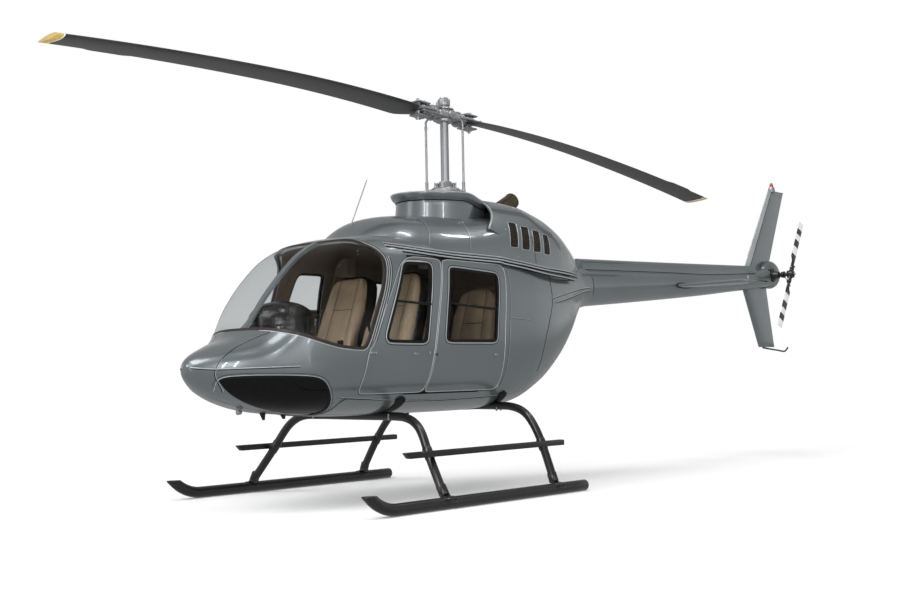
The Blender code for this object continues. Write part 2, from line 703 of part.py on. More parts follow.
def make_aft(tools):
    aft = node("aft_fuselage", body_solid(0, BULKHEAD_X, BOOM_START_X, "aft"), "paint")
    hollow = body_solid(0.009, BULKHEAD_X - 0.05, BOOM_START_X - 0.10, "aft_in")
    carve(aft, cutter("cut_aft", hollow))
    boom_outer = []
    boom_inner = []
    for x, middle, radius in BOOM:
        boom_outer.append(circle_ring(x, middle, radius, 24))
        boom_inner.append(circle_ring(x, middle, radius - BOOM_WALL, 24))
    boom_inner[0] = circle_ring(BOOM[0][0] - 0.02, BOOM[0][1], BOOM[0][2] - BOOM_WALL, 24)
    boom_inner = boom_inner[:-1]
    boom = node("tail_boom", loft(boom_outer, "boom"), "paint")
    carve(boom, cutter("cut_boom", loft(boom_inner, "boom_in")))
    cover = node("drive_shaft_cover", loft(cover_rings(0), "cover"), "paint")
    grown_boom = [circle_ring(x, middle, radius + GAP, 24) for x, middle, radius in BOOM]
    grown_boom[0] = circle_ring(BOOM[0][0] - 0.3, BOOM[0][1], BOOM[0][2] + GAP, 24)
    carve(cover, cutter("cut_cover", loft(grown_boom, "cover_cut")))
    carve(cover, cutter("cut_cover_inside", loft(cover_rings(COVER_WALL), "cover_inside")))


def cover_rings(inset):
    """Rings of the drive shaft cover, drawn in by the inset on top, at the sides and at both ends."""
    rings = []
    for x, low, high, half in SHAFT_COVER:
        ring = []
        for i in range(9):
            angle = pi * i / 8
            rise = (high - inset - low) * sin(angle) ** 0.8
            ring.append((x, (half - inset) * cos(angle), low + rise))
        foot = low - 0.05 - max(inset, 0)
        rings.append(ring + [(x, inset - half, foot), (x, half - inset, foot)])
    first_x, last_x = rings[0][0][0], rings[-1][0][0]
    rings[0] = [(first_x + inset, y, z) for x, y, z in rings[0]]
    rings[-1] = [(last_x - inset, y, z) for x, y, z in rings[-1]]
    return rings


def circle_ring(x, middle, radius, count):
    ring = []
    for i in range(count):
        angle = 2 * pi * i / count
        ring.append((x, radius * cos(angle), middle + radius * sin(angle)))
    return ring


def wing(stations, name):
    """A tapered surface; each station has its nose point, chord and thickness directions, chord and thickness."""
    rings = []
    for nose, along, up, chord, thick in stations:
        nose, along, up = Vector(nose), Vector(along).normalized(), Vector(up).normalized()
        ring = []
        for a, b in section_of(chord, thick):
            ring.append(nose + along * (chord * 0.25 - a) + up * b)
        rings.append(ring)
    return loft(rings, name)


def fin_half(stations, thick, name):
    """One half of the fin, from its leading edge points and chords."""
    return wing([((x, FIN_Y, z), ALONG_X, ALONG_Y, chord, thick) for x, z, chord in stations], name)


def make_tail():
    upper = fin_half(((5.050, 2.020, 0.58), (5.085, 2.150, 0.55), (5.690, 3.075, 0.37)), 0.095, "upper")
    lower = fin_half(((5.030, 2.020, 0.58), (5.045, 1.860, 0.55), (5.370, 1.190, 0.37)), 0.090, "lower")
    dome = turned(((0, -0.17), (0.08, -0.155), (0.14, -0.10), (0.165, 0), (0.14, 0.10), (0.08, 0.155),
                   (0, 0.17)), "dome", 20, (1.2, 0.62, 0.95), None, (5.58, 0, 2.05))
    spar = rod((5.1, 0, 1.972), (5.5, 0, 2.0), 0.09, "spar", 16, 0.11)
    fin = node("tail_fin", joined([upper, lower, dome, spar], "fin"), "paint")
    fit = [circle_ring(x, middle, radius + GAP, 24) for x, middle, radius in BOOM]
    carve(fin, cutter("cut_fin_boom", loft(fit, "fin_boom")))
    carve(fin, cutter("cut_fin_cover", loft(cover_rings(-2 * GAP), "fin_cover")))
    node("stabilizer", flat_wing(STABILIZER_CHORD, 0.12, "stabilizer"), "paint")
    slot = cutter("cut_stabilizer", flat_wing(STABILIZER_CHORD + 0.006, 0.135, "slot"))
    carve(bpy.data.objects["tail_boom"], slot)

    bend = ((5.47, FIN_Y, 1.186), (5.62, FIN_Y, 1.172), (5.96, FIN_Y, 1.142), (6.07, FIN_Y, 1.185))
    path = rounded_path(bend, 0.05)
    node("tail_skid", tube(path, 0.010, "tail_skid", ALONG_Y, 8), "black")
    path[0] += (path[0] - path[1]).normalized() * 0.01
    carve(fin, cutter("cut_tail_skid", tube(path, 0.010 + GAP, "skid_cut", ALONG_Y, 8)))
    lamp = turned(((0, 0.0), (0.040, 0.0), (0.036, 0.055), (0.030, 0.062), (0.030, 0.085), (0.018, 0.102),
                   (0, 0.106)), "beacon", 16, (1, 1, 1), None, (5.80, FIN_Y, 3.0755))
    node("beacon", lamp, "lens")


def flat_wing(chord, thick, name):
    """The stabilizer's shape, straight through the boom from tip to tip, with its middle at a fixed line."""
    nose_x = STABILIZER_X + (STABILIZER_CHORD - chord) / 2
    tips = [(nose_x, side * STABILIZER_SPAN / 2, STABILIZER_Z) for side in (-1, 1)]
    return wing([(tip, ALONG_X, (0, 0, 1), chord, thick) for tip in tips], name)


def make_cowls():
    body_cut = cutter("cut_body", body_envelope(-2 * GAP, "cut_body"))
    front = node("front_cowl", cowl_solid(FRONT_COWL, 0, -1.245, 0.14, "front_cowl"), "paint")
    carve(front, cutter("cut_front_cowl", cowl_solid(FRONT_COWL, 0.012, -1.16, 0.20, "front_in")))
    carve(front, body_cut)
    collar_hole = turned(((0, 2.10), (0.475, 2.10), (0.475, 2.60), (0, 2.60)), "hole", 32, (1, 0.70, 1))
    carve(front, cutter("cut_collar_hole", collar_hole))
    collar = turned(
        ((0.476, 2.291), (0.530, 2.291), (0.512, 2.33), (0.508, 2.415), (0.518, 2.442), (0.545, 2.464),
         (0.545, 2.478), (0.500, 2.480), (0.490, 2.442), (0.490, 2.31)),
        "collar", 32, (1, 0.70, 1))
    ring = node("intake_collar", collar, "paint")
    engine = node("engine_cowl", cowl_solid(ENGINE_COWL, 0, 0.145, 1.72, "engine_cowl"), "paint")
    carve(engine, cutter("cut_engine_cowl", cowl_solid(ENGINE_COWL, 0.014, 0.10, 1.64, "engine_in")))
    carve(engine, body_cut)
    engine_fit = cutter("cut_engine_fit", cowl_solid(ENGINE_COWL, -GAP, 0.1447, 1.72, "engine_fit"))
    carve(ring, engine_fit)
    for i in range(4):
        left, top = 0.283 + 0.153 * i, 2.242 - 0.024 * i
        foot, low = 0.210 + 0.160 * i, 2.016 - 0.011 * i
        outline = ((left, top), (left + 0.107, top - 0.006), (foot + 0.110, low), (foot, low + 0.001))
        carve(engine, cutter(f"cut_louvre_port_{i}", prism(outline, -0.62, -0.30, "louvre")))
        carve(engine, cutter(f"cut_louvre_starboard_{i}", prism(outline, 0.30, 0.62, "louvre")))
    lean = Matrix.Rotation(radians(62), 3, "Y")
    foot = (0.76, 0.06, 2.44)
    pipe = ((0.046, -0.20), (0.055, -0.20), (0.055, 0.23), (0.046, 0.23))
    stack = turned(pipe, "stack", 24, (1, 1, 1), lean, foot)
    node("exhaust_stack", stack, "bronze")
    room = ((0, -0.30), (0.0555, -0.30), (0.0555, 0.40), (0, 0.40))
    hole = turned(room, "stack_hole", 24, (1, 1, 1), lean, foot)
    carve(engine, cutter("cut_stack", hole))
    engine_block = block((0.42, -0.24, 1.900), (1.02, 0.24, 2.25), "engine_block")
    carve(node("engine_block", engine_block, "alloy"), body_cut)
    gearbox = joined([block((-0.22, -0.17, 1.960), (0.22, 0.17, 2.30), "case"),
                      rod((0, 0, 2.28), (0, 0, 2.505), 0.085, "neck", 20)], "gearbox")
    case = node("main_gearbox", gearbox, "alloy")
    carve(case, body_cut)
    bore = rod((0, 0, 2.40), (0, 0, 2.70), MAST_RADIUS + 0.0006, "bore", 20)
    carve(case, cutter("cut_mast_bore", bore))


def route(foot_x, top_x, shape, side):
    """Half of a cross tube, from the middle out to its foot, in a plane that leans aft with height."""
    high = shape[0][1]
    points = []
    for y, z in shape:
        points.append((foot_x + (top_x - foot_x) * (z - FOOT_Z) / (high - FOOT_Z), side * y, z))
    return points


def front_route(side):
    shape = ((0, 0.650), (0.45, 0.650), (0.60, 0.640), (0.71, 0.600), (0.80, 0.520), (0.92, 0.345),
             (1.085, FOOT_Z))
    return route(FRONT_TUBE_X, FRONT_TUBE_TOP_X, shape, side)


def rear_route(side):
    shape = ((0, 0.690), (0.47, 0.690), (0.62, 0.682), (0.74, 0.645), (0.84, 0.565), (0.955, 0.405),
             (1.100, FOOT_Z))
    return route(REAR_TUBE_X, REAR_TUBE_TOP_X, shape, side)


def across_of(points):
    """The direction square to the leaning plane of a cross tube."""
    top, foot = Vector(points[0]), Vector(points[-1])
    return Vector((foot.z - top.z, 0, top.x - foot.x)).normalized() * -1


def at_height(points, z):
    """The point of a half route at this height."""
    for one, two in zip(points, points[1:]):
        if two[2] <= z <= one[2]:
            t = (one[2] - z) / (one[2] - two[2])
            return Vector(one).lerp(Vector(two), t)
    return Vector(points[-1])


def make_gear():
    y = -SKID_HALF_TRACK
    path = [(SKID_REAR_X, y, SKID_RADIUS), (TOE_START_X, y, SKID_RADIUS)]
    for k in range(1, 6):
        angle = radians(8.6 * k)
        path.append((TOE_START_X - TOE_BEND * sin(angle), y, SKID_RADIUS + TOE_BEND * (1 - cos(angle))))
    starboard_copy(node("skid_tube_port", tube(path, SKID_RADIUS, "skid", ALONG_Y, 16), "black"))
    for name, route in (("front", front_route), ("rear", rear_route)):
        half = route(1)
        whole = [(x, -y, z) for x, y, z in reversed(half[1:])] + half
        bar = tube(whole, CROSS_RADIUS, name, across_of(half), 12)
        pieces = [bar]
        foot_x, foot_y, foot_z = half[-1]
        skid_top = 2 * SKID_RADIUS
        for side in (-1, 1):
            skid_y = side * SKID_HALF_TRACK
            pieces.append(block((foot_x - 0.060, skid_y - 0.034, skid_top + GAP),
                                (foot_x + 0.060, skid_y + 0.034, skid_top + 0.022), "saddle"))
            pieces.append(rod((foot_x, side * (foot_y - 0.014), foot_z + 0.02),
                              (foot_x, side * (SKID_HALF_TRACK - 0.030), skid_top + 0.020), 0.040, "socket", 12))
        node(f"{name}_cross_tube", joined(pieces, name), "black")
    make_steps()


def make_steps():
    """Long step outboard of the struts, on a clamp at each one."""
    low, high = -STEP_Y - 0.058, -STEP_Y - 0.005
    outline = ((-1.515, STEP_Z + 0.018), (-1.475, STEP_Z - 0.018), (0.30, STEP_Z - 0.018), (0.30, STEP_Z + 0.018))
    pieces = [prism(outline, low, high, "tread")]
    halves = (front_route(-1), rear_route(-1))
    for half in halves:
        x, y, z = at_height(half, STEP_Z)
        pieces.append(rod((x - 0.048, y, z), (x + 0.048, y, z), 0.055, "clamp", 14))
        for edge in (x - 0.046, x + 0.022):
            pieces.append(block((edge, -STEP_Y - 0.030, z - 0.014), (edge + 0.024, y, z + 0.014), "bracket"))
    step = node("step_port", joined(pieces, "step"), "black")
    for i, half in enumerate(halves):
        carve(step, cutter(f"cut_step_{i}", tube(half, CROSS_RADIUS + GAP, "strut", across_of(half), 12)))
    starboard_copy(step)


def blade_point(reach, fore):
    """A point on a main blade's quarter-chord line, at this reach from the mast."""
    lift = TEETER_SLOPE * reach * (1 if fore else -1) - TIP_DROOP * (reach / ROTOR_RADIUS) ** 2
    lift -= ROOT_DIP * max(0, 1 - reach / 1.8) ** 2
    angle = BLADE_AZIMUTH + (0 if fore else pi)
    return Vector((cos(angle) * reach, sin(angle) * reach, HUB_Z + lift))


def make_rotor():
    hub = (0, 0, HUB_Z)
    shaft = rod((0, 0, 2.4003), (0, 0, HUB_Z + 0.06), MAST_RADIUS, "mast", 20)
    nut = rod((0, 0, HUB_Z + 0.055), (0, 0, HUB_Z + 0.125), 0.055, "nut", 12)
    plate = turned(((0.02, 2.515), (0.13, 2.515), (0.135, 2.54), (0.12, 2.56), (0.06, 2.56), (0.055, 2.62),
                    (0.02, 2.62)), "plate", 20)
    node("rotor_mast", joined([shaft, nut, plate], "mast"), "steel", hub)
    along = Vector((cos(BLADE_AZIMUTH), sin(BLADE_AZIMUTH), TEETER_SLOPE)).normalized()
    edge = Vector((-sin(BLADE_AZIMUTH), cos(BLADE_AZIMUTH), 0))
    frame = Matrix((along, edge, along.cross(edge))).transposed().to_4x4()
    frame.translation = Vector((0, 0, HUB_Z - HEAD_DROP))
    for fore in (True, False):
        rings = []
        for reach in (BLADE_ROOT, 0.55, 0.75, 1.3, 1.9, 2.5, 3.1, ROTOR_RADIUS):
            chord = BLADE_CHORD if reach > 0.6 else 0.17 + (reach - BLADE_ROOT) * 0.5
            thick = 0.12 if reach > 0.6 else 0.30
            middle = blade_point(reach, fore)
            leading = edge if fore else -edge
            pitch = ROOT_TWIST * (1 - reach / ROTOR_RADIUS)
            ring = []
            for a, b in section_of(chord, thick):
                rise = a * sin(pitch) + b * cos(pitch)
                ring.append(middle + leading * (a * cos(pitch) - b * sin(pitch)) + Vector((0, 0, rise)))
            rings.append(ring)
        side = "fore" if fore else "aft"
        blade = node(f"main_blade_{side}", loft(rings, "blade"), "blade", hub)
        end = GRIP_END + GAP
        seat = rod((0.2, 0, 0), (end, 0, 0), GRIP_RADIUS + GAP, "seat", 14)
        seat.transform(frame @ Matrix.Rotation(0 if fore else pi, 4, "Z"))
        carve(blade, cutter(f"cut_blade_{side}", seat))
    yoke = block((-0.30, -0.075, -0.022), (0.30, 0.075, 0.022), "yoke")
    trunnion = rod((0, -0.11, 0.0), (0, 0.11, 0.0), 0.036, "trunnion", 16)
    core = rod((0, 0, -0.055), (0, 0, 0.050), 0.075, "core", 20)
    pieces = [yoke, trunnion, core]
    for way in (-1, 1):
        grip = rod((0.16, 0, 0), (GRIP_END, 0, 0), GRIP_RADIUS, "grip", 14)
        if way < 0:
            grip.transform(Matrix.Rotation(pi, 4, "Z"))
        horn = block((way * LINK_REACH - 0.02, -0.125 if way > 0 else 0.0, -0.018),
                     (way * LINK_REACH + 0.02, 0.0 if way > 0 else 0.125, 0.012), "horn")
        pieces += [grip, horn]
    head = joined(pieces, "head")
    head.transform(frame)
    hole = rod((0, 0, 3.0), (0, 0, 3.5), MAST_RADIUS + GAP, "hole", 20)
    links = []
    for way in (-1, 1):
        top = frame @ Vector((way * LINK_REACH, -way * 0.105, -0.006))
        links.append(rod((top.x * 0.5, top.y * 0.5, 2.540), (top.x, top.y, 2.540), 0.012, "arm", 10))
        links.append(rod((top.x, top.y, 2.520), top, 0.0095, "link", 10))
    body = node("rotor_head", joined([head, *links], "head"), "steel", hub)
    carve(body, cutter("cut_head", hole))
    nut_hole = rod((0, 0, HUB_Z + 0.0547), (0, 0, HUB_Z + 0.14), 0.0555, "nut_hole", 12)
    carve(body, cutter("cut_head_nut", nut_hole))
    plate_hole = turned(((0, 2.5147), (0.1305, 2.5147), (0.1355, 2.54), (0.1205, 2.5603), (0.0605, 2.5603),
                         (0.0555, 2.6203), (0, 2.6203)), "plate_hole", 20)
    carve(body, cutter("cut_head_plate", plate_hole))


def make_tail_rotor():
    centre = Vector((TAIL_AXIS_X, TAIL_AXIS_Y, TAIL_AXIS_Z))
    along = Vector((cos(TAIL_BLADE_ANGLE), 0, sin(TAIL_BLADE_ANGLE)))
    across = Vector((0, 1, 0)).cross(along)
    shaft = rod(centre + Vector((0, 0.20, 0)), centre - Vector((0, 0.05, 0)), 0.018, "shaft", 14)
    yoke = rod(centre - along * 0.11, centre + along * 0.11, 0.026, "yoke", 12)
    core = rod(centre + Vector((0, 0.035, 0)), centre - Vector((0, 0.035, 0)), 0.045, "core", 16)
    slider = rod(centre + Vector((0, 0.075, 0)), centre + Vector((0, 0.115, 0)), 0.040, "slider", 16)
    node("tail_rotor_hub", joined([shaft, yoke, core, slider], "tail_hub"), "black", centre)
    for i, way in enumerate((1, -1)):
        rings = []
        for reach in (0.1103, 0.18, 0.22, 0.45, TAIL_RADIUS):
            chord = TAIL_CHORD if reach > 0.19 else 0.055
            thick = 0.12 if reach > 0.19 else 0.5
            ring = []
            for a, b in section_of(chord, thick):
                ring.append(centre + along * way * reach + across * way * a + Vector((0, b, 0)))
            rings.append(ring)
        node(f"tail_blade_{'upper' if way > 0 else 'lower'}", loft(rings, "tail_blade"), "stripe", centre)
    case = joined([rod((TAIL_AXIS_X, -0.085, TAIL_AXIS_Z), (TAIL_AXIS_X, -0.19, TAIL_AXIS_Z), 0.050, "case", 16),
                   rod((TAIL_AXIS_X, -0.02, TAIL_AXIS_Z), (TAIL_AXIS_X, -0.10, TAIL_AXIS_Z), 0.085, "base", 16)],
                  "case")
    gearbox = node("tail_gearbox", case, "black")
    bore = rod((TAIL_AXIS_X, -0.125, TAIL_AXIS_Z), (TAIL_AXIS_X, -0.30, TAIL_AXIS_Z), 0.0186, "bore", 14)
    carve(gearbox, cutter("cut_tail_bore", bore))
    seat = rod((TAIL_AXIS_X, 0.0, TAIL_AXIS_Z), (TAIL_AXIS_X, -0.2, TAIL_AXIS_Z), 0.085 + GAP, "seat", 16)
    carve(bpy.data.objects["tail_fin"], cutter("cut_gearbox_seat", seat))


def main():
    clear_scene()
    empty("airframe", (MAST_X, 0, 0))
    tools = shell_cutters()
    make_nose(tools)
    make_windshield(tools)
    make_cabin_shell(tools)
    make_doors(tools)
    make_inside(tools)
    make_aft(tools)
    make_tail()
    make_cowls()
    make_gear()
    make_rotor()
    make_tail_rotor()


main()
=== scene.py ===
import json
from math import cos, pi, radians, sin

import bmesh
import bpy
import numpy as np
from mathutils import Matrix, Vector
from mathutils.bvhtree import BVHTree

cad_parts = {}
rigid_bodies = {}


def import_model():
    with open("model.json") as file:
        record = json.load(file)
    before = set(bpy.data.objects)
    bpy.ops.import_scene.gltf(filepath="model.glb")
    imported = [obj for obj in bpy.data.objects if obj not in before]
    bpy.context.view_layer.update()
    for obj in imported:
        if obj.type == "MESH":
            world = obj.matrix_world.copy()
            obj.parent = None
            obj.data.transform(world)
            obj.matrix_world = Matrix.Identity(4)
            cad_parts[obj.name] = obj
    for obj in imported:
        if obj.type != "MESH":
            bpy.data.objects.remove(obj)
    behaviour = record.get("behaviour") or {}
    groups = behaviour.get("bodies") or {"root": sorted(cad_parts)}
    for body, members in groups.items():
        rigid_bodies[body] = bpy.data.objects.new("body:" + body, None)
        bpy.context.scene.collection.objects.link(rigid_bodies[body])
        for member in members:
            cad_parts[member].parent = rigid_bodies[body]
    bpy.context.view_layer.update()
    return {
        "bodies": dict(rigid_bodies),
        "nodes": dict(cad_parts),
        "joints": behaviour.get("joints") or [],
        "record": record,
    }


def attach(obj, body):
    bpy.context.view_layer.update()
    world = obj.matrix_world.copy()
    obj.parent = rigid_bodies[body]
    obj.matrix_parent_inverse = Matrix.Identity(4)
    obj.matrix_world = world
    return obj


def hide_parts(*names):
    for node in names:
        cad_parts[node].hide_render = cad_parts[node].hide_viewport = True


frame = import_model()
mastX = -1.23    # every length along X below is measured from the mast
print("frame loaded")


def placed(name, data):
    obj = bpy.data.objects.new(name, data)
    bpy.context.collection.objects.link(obj)
    return obj


# x, bottom z, widest z, top z, half width, upper exponent, lower exponent
bodyRows = (
    (-2.695, 1.008, 1.035, 1.062, 0.026, 2.0, 2.0),
    (-2.675, 0.960, 1.035, 1.098, 0.080, 2.0, 2.0),
    (-2.605, 0.895, 1.032, 1.145, 0.168, 2.1, 2.1),
    (-2.480, 0.822, 1.035, 1.195, 0.282, 2.2, 2.3),
    (-2.300, 0.758, 1.045, 1.257, 0.402, 2.4, 2.5),
    (-2.150, 0.722, 1.060, 1.364, 0.492, 3.1, 2.6),
    (-1.990, 0.698, 1.085, 1.570, 0.558, 5.0, 2.8),
    (-1.820, 0.684, 1.120, 1.756, 0.605, 5.6, 2.9),
    (-1.640, 0.672, 1.180, 1.914, 0.635, 5.6, 3.0),
    (-1.450, 0.663, 1.260, 2.012, 0.652, 4.8, 3.1),
    (-1.240, 0.660, 1.320, 2.055, 0.660, 4.3, 3.2),
    (-0.900, 0.660, 1.350, 2.060, 0.660, 4.5, 3.2),
    (-0.300, 0.660, 1.350, 2.020, 0.660, 4.5, 3.2),
    (0.100, 0.665, 1.350, 1.985, 0.655, 4.3, 3.2),
    (0.400, 0.690, 1.350, 1.960, 0.635, 4.0, 3.0),
    (0.700, 0.790, 1.370, 1.945, 0.580, 3.6, 2.8),
    (1.000, 0.950, 1.440, 1.940, 0.490, 3.2, 2.6),
    (1.280, 1.165, 1.550, 1.945, 0.385, 2.8, 2.5),
    (1.500, 1.400, 1.655, 1.950, 0.290, 2.6, 2.4),
    (1.670, 1.545, 1.735, 1.955, 0.225, 2.4, 2.3),
    (1.900, 1.580, 1.765, 1.960, 0.190, 2.2, 2.2),
)
# x, base z, top z, half width, exponent
frontCowlRows = (
    (-1.300, 1.90, 2.020, 0.130, 2.0),
    (-1.225, 1.90, 2.080, 0.280, 2.0),
    (-1.130, 1.90, 2.152, 0.400, 2.0),
    (-1.000, 1.90, 2.212, 0.490, 2.05),
    (-0.830, 1.90, 2.250, 0.555, 2.1),
    (-0.580, 1.90, 2.275, 0.590, 2.15),
    (-0.200, 1.88, 2.290, 0.604, 2.5),
    (0.140, 1.86, 2.300, 0.604, 3.3),
)
engineCowlRows = (
    (0.145, 1.86, 2.480, 0.602, 2.3),
    (0.550, 1.86, 2.475, 0.580, 2.3),
    (0.880, 1.86, 2.420, 0.522, 2.2),
    (1.120, 1.86, 2.340, 0.448, 2.2),
    (1.350, 1.86, 2.225, 0.350, 2.1),
    (1.560, 1.86, 2.085, 0.230, 2.1),
    (1.720, 1.86, 1.975, 0.110, 2.0),
)
# x, middle z, radius
boomRows = (
    (1.8303, 1.765, 0.185),
    (2.60, 1.803, 0.165),
    (3.40, 1.845, 0.143),
    (4.05, 1.880, 0.122),
    (4.70, 1.928, 0.106),
    (5.20, 1.965, 0.098),
)
# x, low z, high z, half width
coverRows = (
    (1.8303, 1.90, 2.050, 0.085),
    (2.60, 1.93, 2.068, 0.080),
    (4.05, 1.965, 2.106, 0.072),
    (5.05, 2.01, 2.134, 0.062),
    (5.20, 2.02, 2.138, 0.060),
)

# side outlines, x and z
windshieldLine = (
    (-2.450, 1.390), (-2.203, 1.318), (-2.150, 1.290), (-2.012, 1.243), (-1.870, 1.198),
    (-1.770, 1.174), (-1.630, 1.161), (-1.565, 1.162), (-1.525, 1.215), (-1.450, 1.408),
    (-1.382, 1.587), (-1.349, 1.707), (-1.334, 1.805), (-1.347, 1.867), (-1.402, 1.926),
    (-1.462, 1.958), (-1.470, 2.400), (-2.450, 2.400),
)
crewDoorLine = (
    (-1.560, 0.824), (-1.585, 0.850), (-1.585, 0.906), (-1.536, 1.149), (-1.478, 1.214),
    (-1.357, 1.500), (-1.217, 1.774), (-1.144, 1.845), (-1.045, 1.876), (-0.800, 1.872),
    (-0.750, 1.862), (-0.731, 1.835), (-0.847, 1.123), (-0.880, 0.902), (-0.889, 0.864),
    (-0.903, 0.838), (-0.932, 0.824),
)
rearDoorLine = (
    (-0.855, 0.824), (-0.880, 0.838), (-0.887, 0.864), (-0.880, 0.902), (-0.847, 1.123),
    (-0.731, 1.835), (-0.710, 1.862), (-0.650, 1.872), (-0.030, 1.866), (0.025, 1.852),
    (0.046, 1.822), (0.024, 1.633), (-0.004, 1.238), (-0.013, 1.041), (-0.025, 0.870),
    (-0.038, 0.842), (-0.075, 0.824),
)
crewWindowLine = (
    (-1.350, 1.225), (-1.320, 1.212), (-0.970, 1.208), (-0.935, 1.222), (-0.925, 1.260),
    (-0.856, 1.780), (-0.862, 1.812), (-0.890, 1.825), (-1.115, 1.823), (-1.148, 1.806),
    (-1.172, 1.765), (-1.360, 1.262),
)
rearWindowLine = (
    (-0.712, 1.235), (-0.680, 1.218), (-0.150, 1.218), (-0.122, 1.232), (-0.115, 1.262),
    (-0.074, 1.735), (-0.082, 1.765), (-0.110, 1.778), (-0.615, 1.802), (-0.645, 1.790),
    (-0.655, 1.760), (-0.715, 1.265),
)
chinLine = (
    (-2.548, 0.905), (-2.556, 0.945), (-2.535, 0.968), (-2.470, 0.977), (-2.350, 0.979),
    (-2.150, 0.975), (-1.980, 0.964), (-1.900, 0.935), (-1.838, 0.854), (-1.763, 0.748),
    (-1.720, 0.690), (-1.760, 0.600),
    (-2.400, 0.600), (-2.520, 0.840),
)


camera = {"place": (-8.9913, -7.3138, 0.9995), "yaw": 0.75371, "pitch": 0.055921, "roll": -0.019148,
          "lens": 49.641, "sensor": 36, "clip": 200}


def makeCamera():
    yaw, pitch, roll = camera["yaw"], camera["pitch"], camera["roll"]
    ahead = Vector((cos(pitch) * cos(yaw), cos(pitch) * sin(yaw), sin(pitch)))
    right = Vector((sin(yaw), -cos(yaw), 0))
    up = right.cross(ahead)
    turned = right * cos(roll) + up * sin(roll)
    top = up * cos(roll) - right * sin(roll)
    data = bpy.data.cameras.new("camera")
    data.sensor_width = camera["sensor"]
    data.lens = camera["lens"]
    data.clip_end = camera["clip"]
    obj = placed("camera", data)
    place = Matrix((turned, top, -ahead)).transposed().to_4x4()
    place.translation = Vector(camera["place"])
    obj.matrix_world = place
    bpy.context.scene.camera = obj


studio = {
    "backdrop": 1.0, "fill": 0.74, "floorTone": 0.96, "floorRadius": 90,
    "sun": 1.45, "sunFrom": (-0.80, 0.25, 1.0), "sunAngle": 38, "sunGloss": 0.15,
    # height in the room from below to above, brightness in glossy surfaces
    "mirror": ((0.0, 0.36), (0.40, 0.34), (0.49, 0.26), (0.52, 0.62), (0.62, 0.44), (0.76, 0.30),
               (1.0, 0.40)),
    # name, place, aim, size, power
    "lights": (
        ("overheadFront", (-3.6, -1.2, 6.5), (-1.6, 0, 1.4), (0.30, 1.3), 22),
        ("overheadMiddle", (-1.2, -1.6, 6.5), (-1.2, 0, 1.4), (0.30, 1.3), 22),
        ("overheadRear", (2.2, -2.0, 6.5), (1.0, 0, 1.6), (0.30, 1.3), 22),
        ("sideStripOne", (-8.2, -4.2, 3.4), (-1.2, 0, 1.8), (0.22, 3.6), 55),
        ("sideStripTwo", (-7.4, -5.0, 3.4), (-1.2, 0, 1.8), (0.22, 3.6), 55),
        ("sideStripThree", (-3.4, -8.4, 3.4), (-0.6, 0, 1.8), (0.22, 3.6), 55),
        ("noseCard", (-5.0, -9.6, 2.6), (-2.6, 0, 1.6), (5.4, 2.8), 32),
        ("frontCard", (-10.8, 3.4, 3.0), (-1.6, 0, 1.8), (3.0, 5.0), 66),
    ),
}


def facing(way):
    return Vector(way).to_track_quat("-Z", "Y").to_euler()


def areaLight(name, place, aim, size, power):
    data = bpy.data.lights.new(name, "AREA")
    data.shape = "RECTANGLE"
    data.size, data.size_y = size
    data.energy = power
    obj = placed(name, data)
    obj.location = place
    obj.visible_camera = False
    obj.rotation_euler = facing(Vector(aim) - Vector(place))


def join(tree, one, two):
    tree.links.new(one, two)


def addNode(tree, kind, values=None):
    node = tree.nodes.new("ShaderNode" + kind)
    for slot, value in (values or {}).items():
        node.inputs[slot].default_value = value
    return node


def multiplyAdd(tree, values):
    node = addNode(tree, "Math", values)
    node.operation = "MULTIPLY_ADD"
    return node


def chosen(tree, share, usual, other):    # usual and other are each a socket or a grey level
    node = tree.nodes.new("ShaderNodeMix")
    node.data_type = "RGBA"
    join(tree, share, node.inputs["Factor"])
    for slot, value in (("A", usual), ("B", other)):
        if isinstance(value, float):
            node.inputs[slot].default_value = (value, value, value, 1)
        else:
            join(tree, value, node.inputs[slot])
    return node.outputs["Result"]


def makeWorld():    # white behind, an even fill for matt surfaces and a graded room for glossy ones
    world = bpy.data.worlds.new("studio")
    world.use_nodes = True
    tree = world.node_tree
    tree.nodes.clear()
    ray = addNode(tree, "LightPath")
    place = addNode(tree, "TexCoord")
    split = addNode(tree, "SeparateXYZ")
    height = multiplyAdd(tree, {1: 0.5, 2: 0.5})    # from -1..1 to 0..1
    ramp = addNode(tree, "ValToRGB")
    spots = ramp.color_ramp.elements
    while len(spots) < len(studio["mirror"]):
        spots.new(0.5)
    for spot, (position, level) in zip(spots, studio["mirror"]):
        spot.position = position
        spot.color = (level, level, level * 1.01, 1)
    join(tree, place.outputs["Generated"], split.inputs["Vector"])
    join(tree, split.outputs["Z"], height.inputs[0])
    join(tree, height.outputs[0], ramp.inputs["Fac"])
    glossy = chosen(tree, ray.outputs["Is Glossy Ray"], studio["fill"], ramp.outputs["Color"])
    seen = chosen(tree, ray.outputs["Is Camera Ray"], glossy, studio["backdrop"])
    shade = addNode(tree, "Background")
    out = addNode(tree, "OutputWorld")
    join(tree, seen, shade.inputs["Color"])
    join(tree, shade.outputs["Background"], out.inputs["Surface"])
    bpy.context.scene.world = world


def newMaterial(name, values):
    made = bpy.data.materials.new(name)
    made.use_nodes = True
    shader = made.node_tree.nodes["Principled BSDF"]
    for slot, value in values.items():
        shader.inputs[slot].default_value = value
    return made, made.node_tree


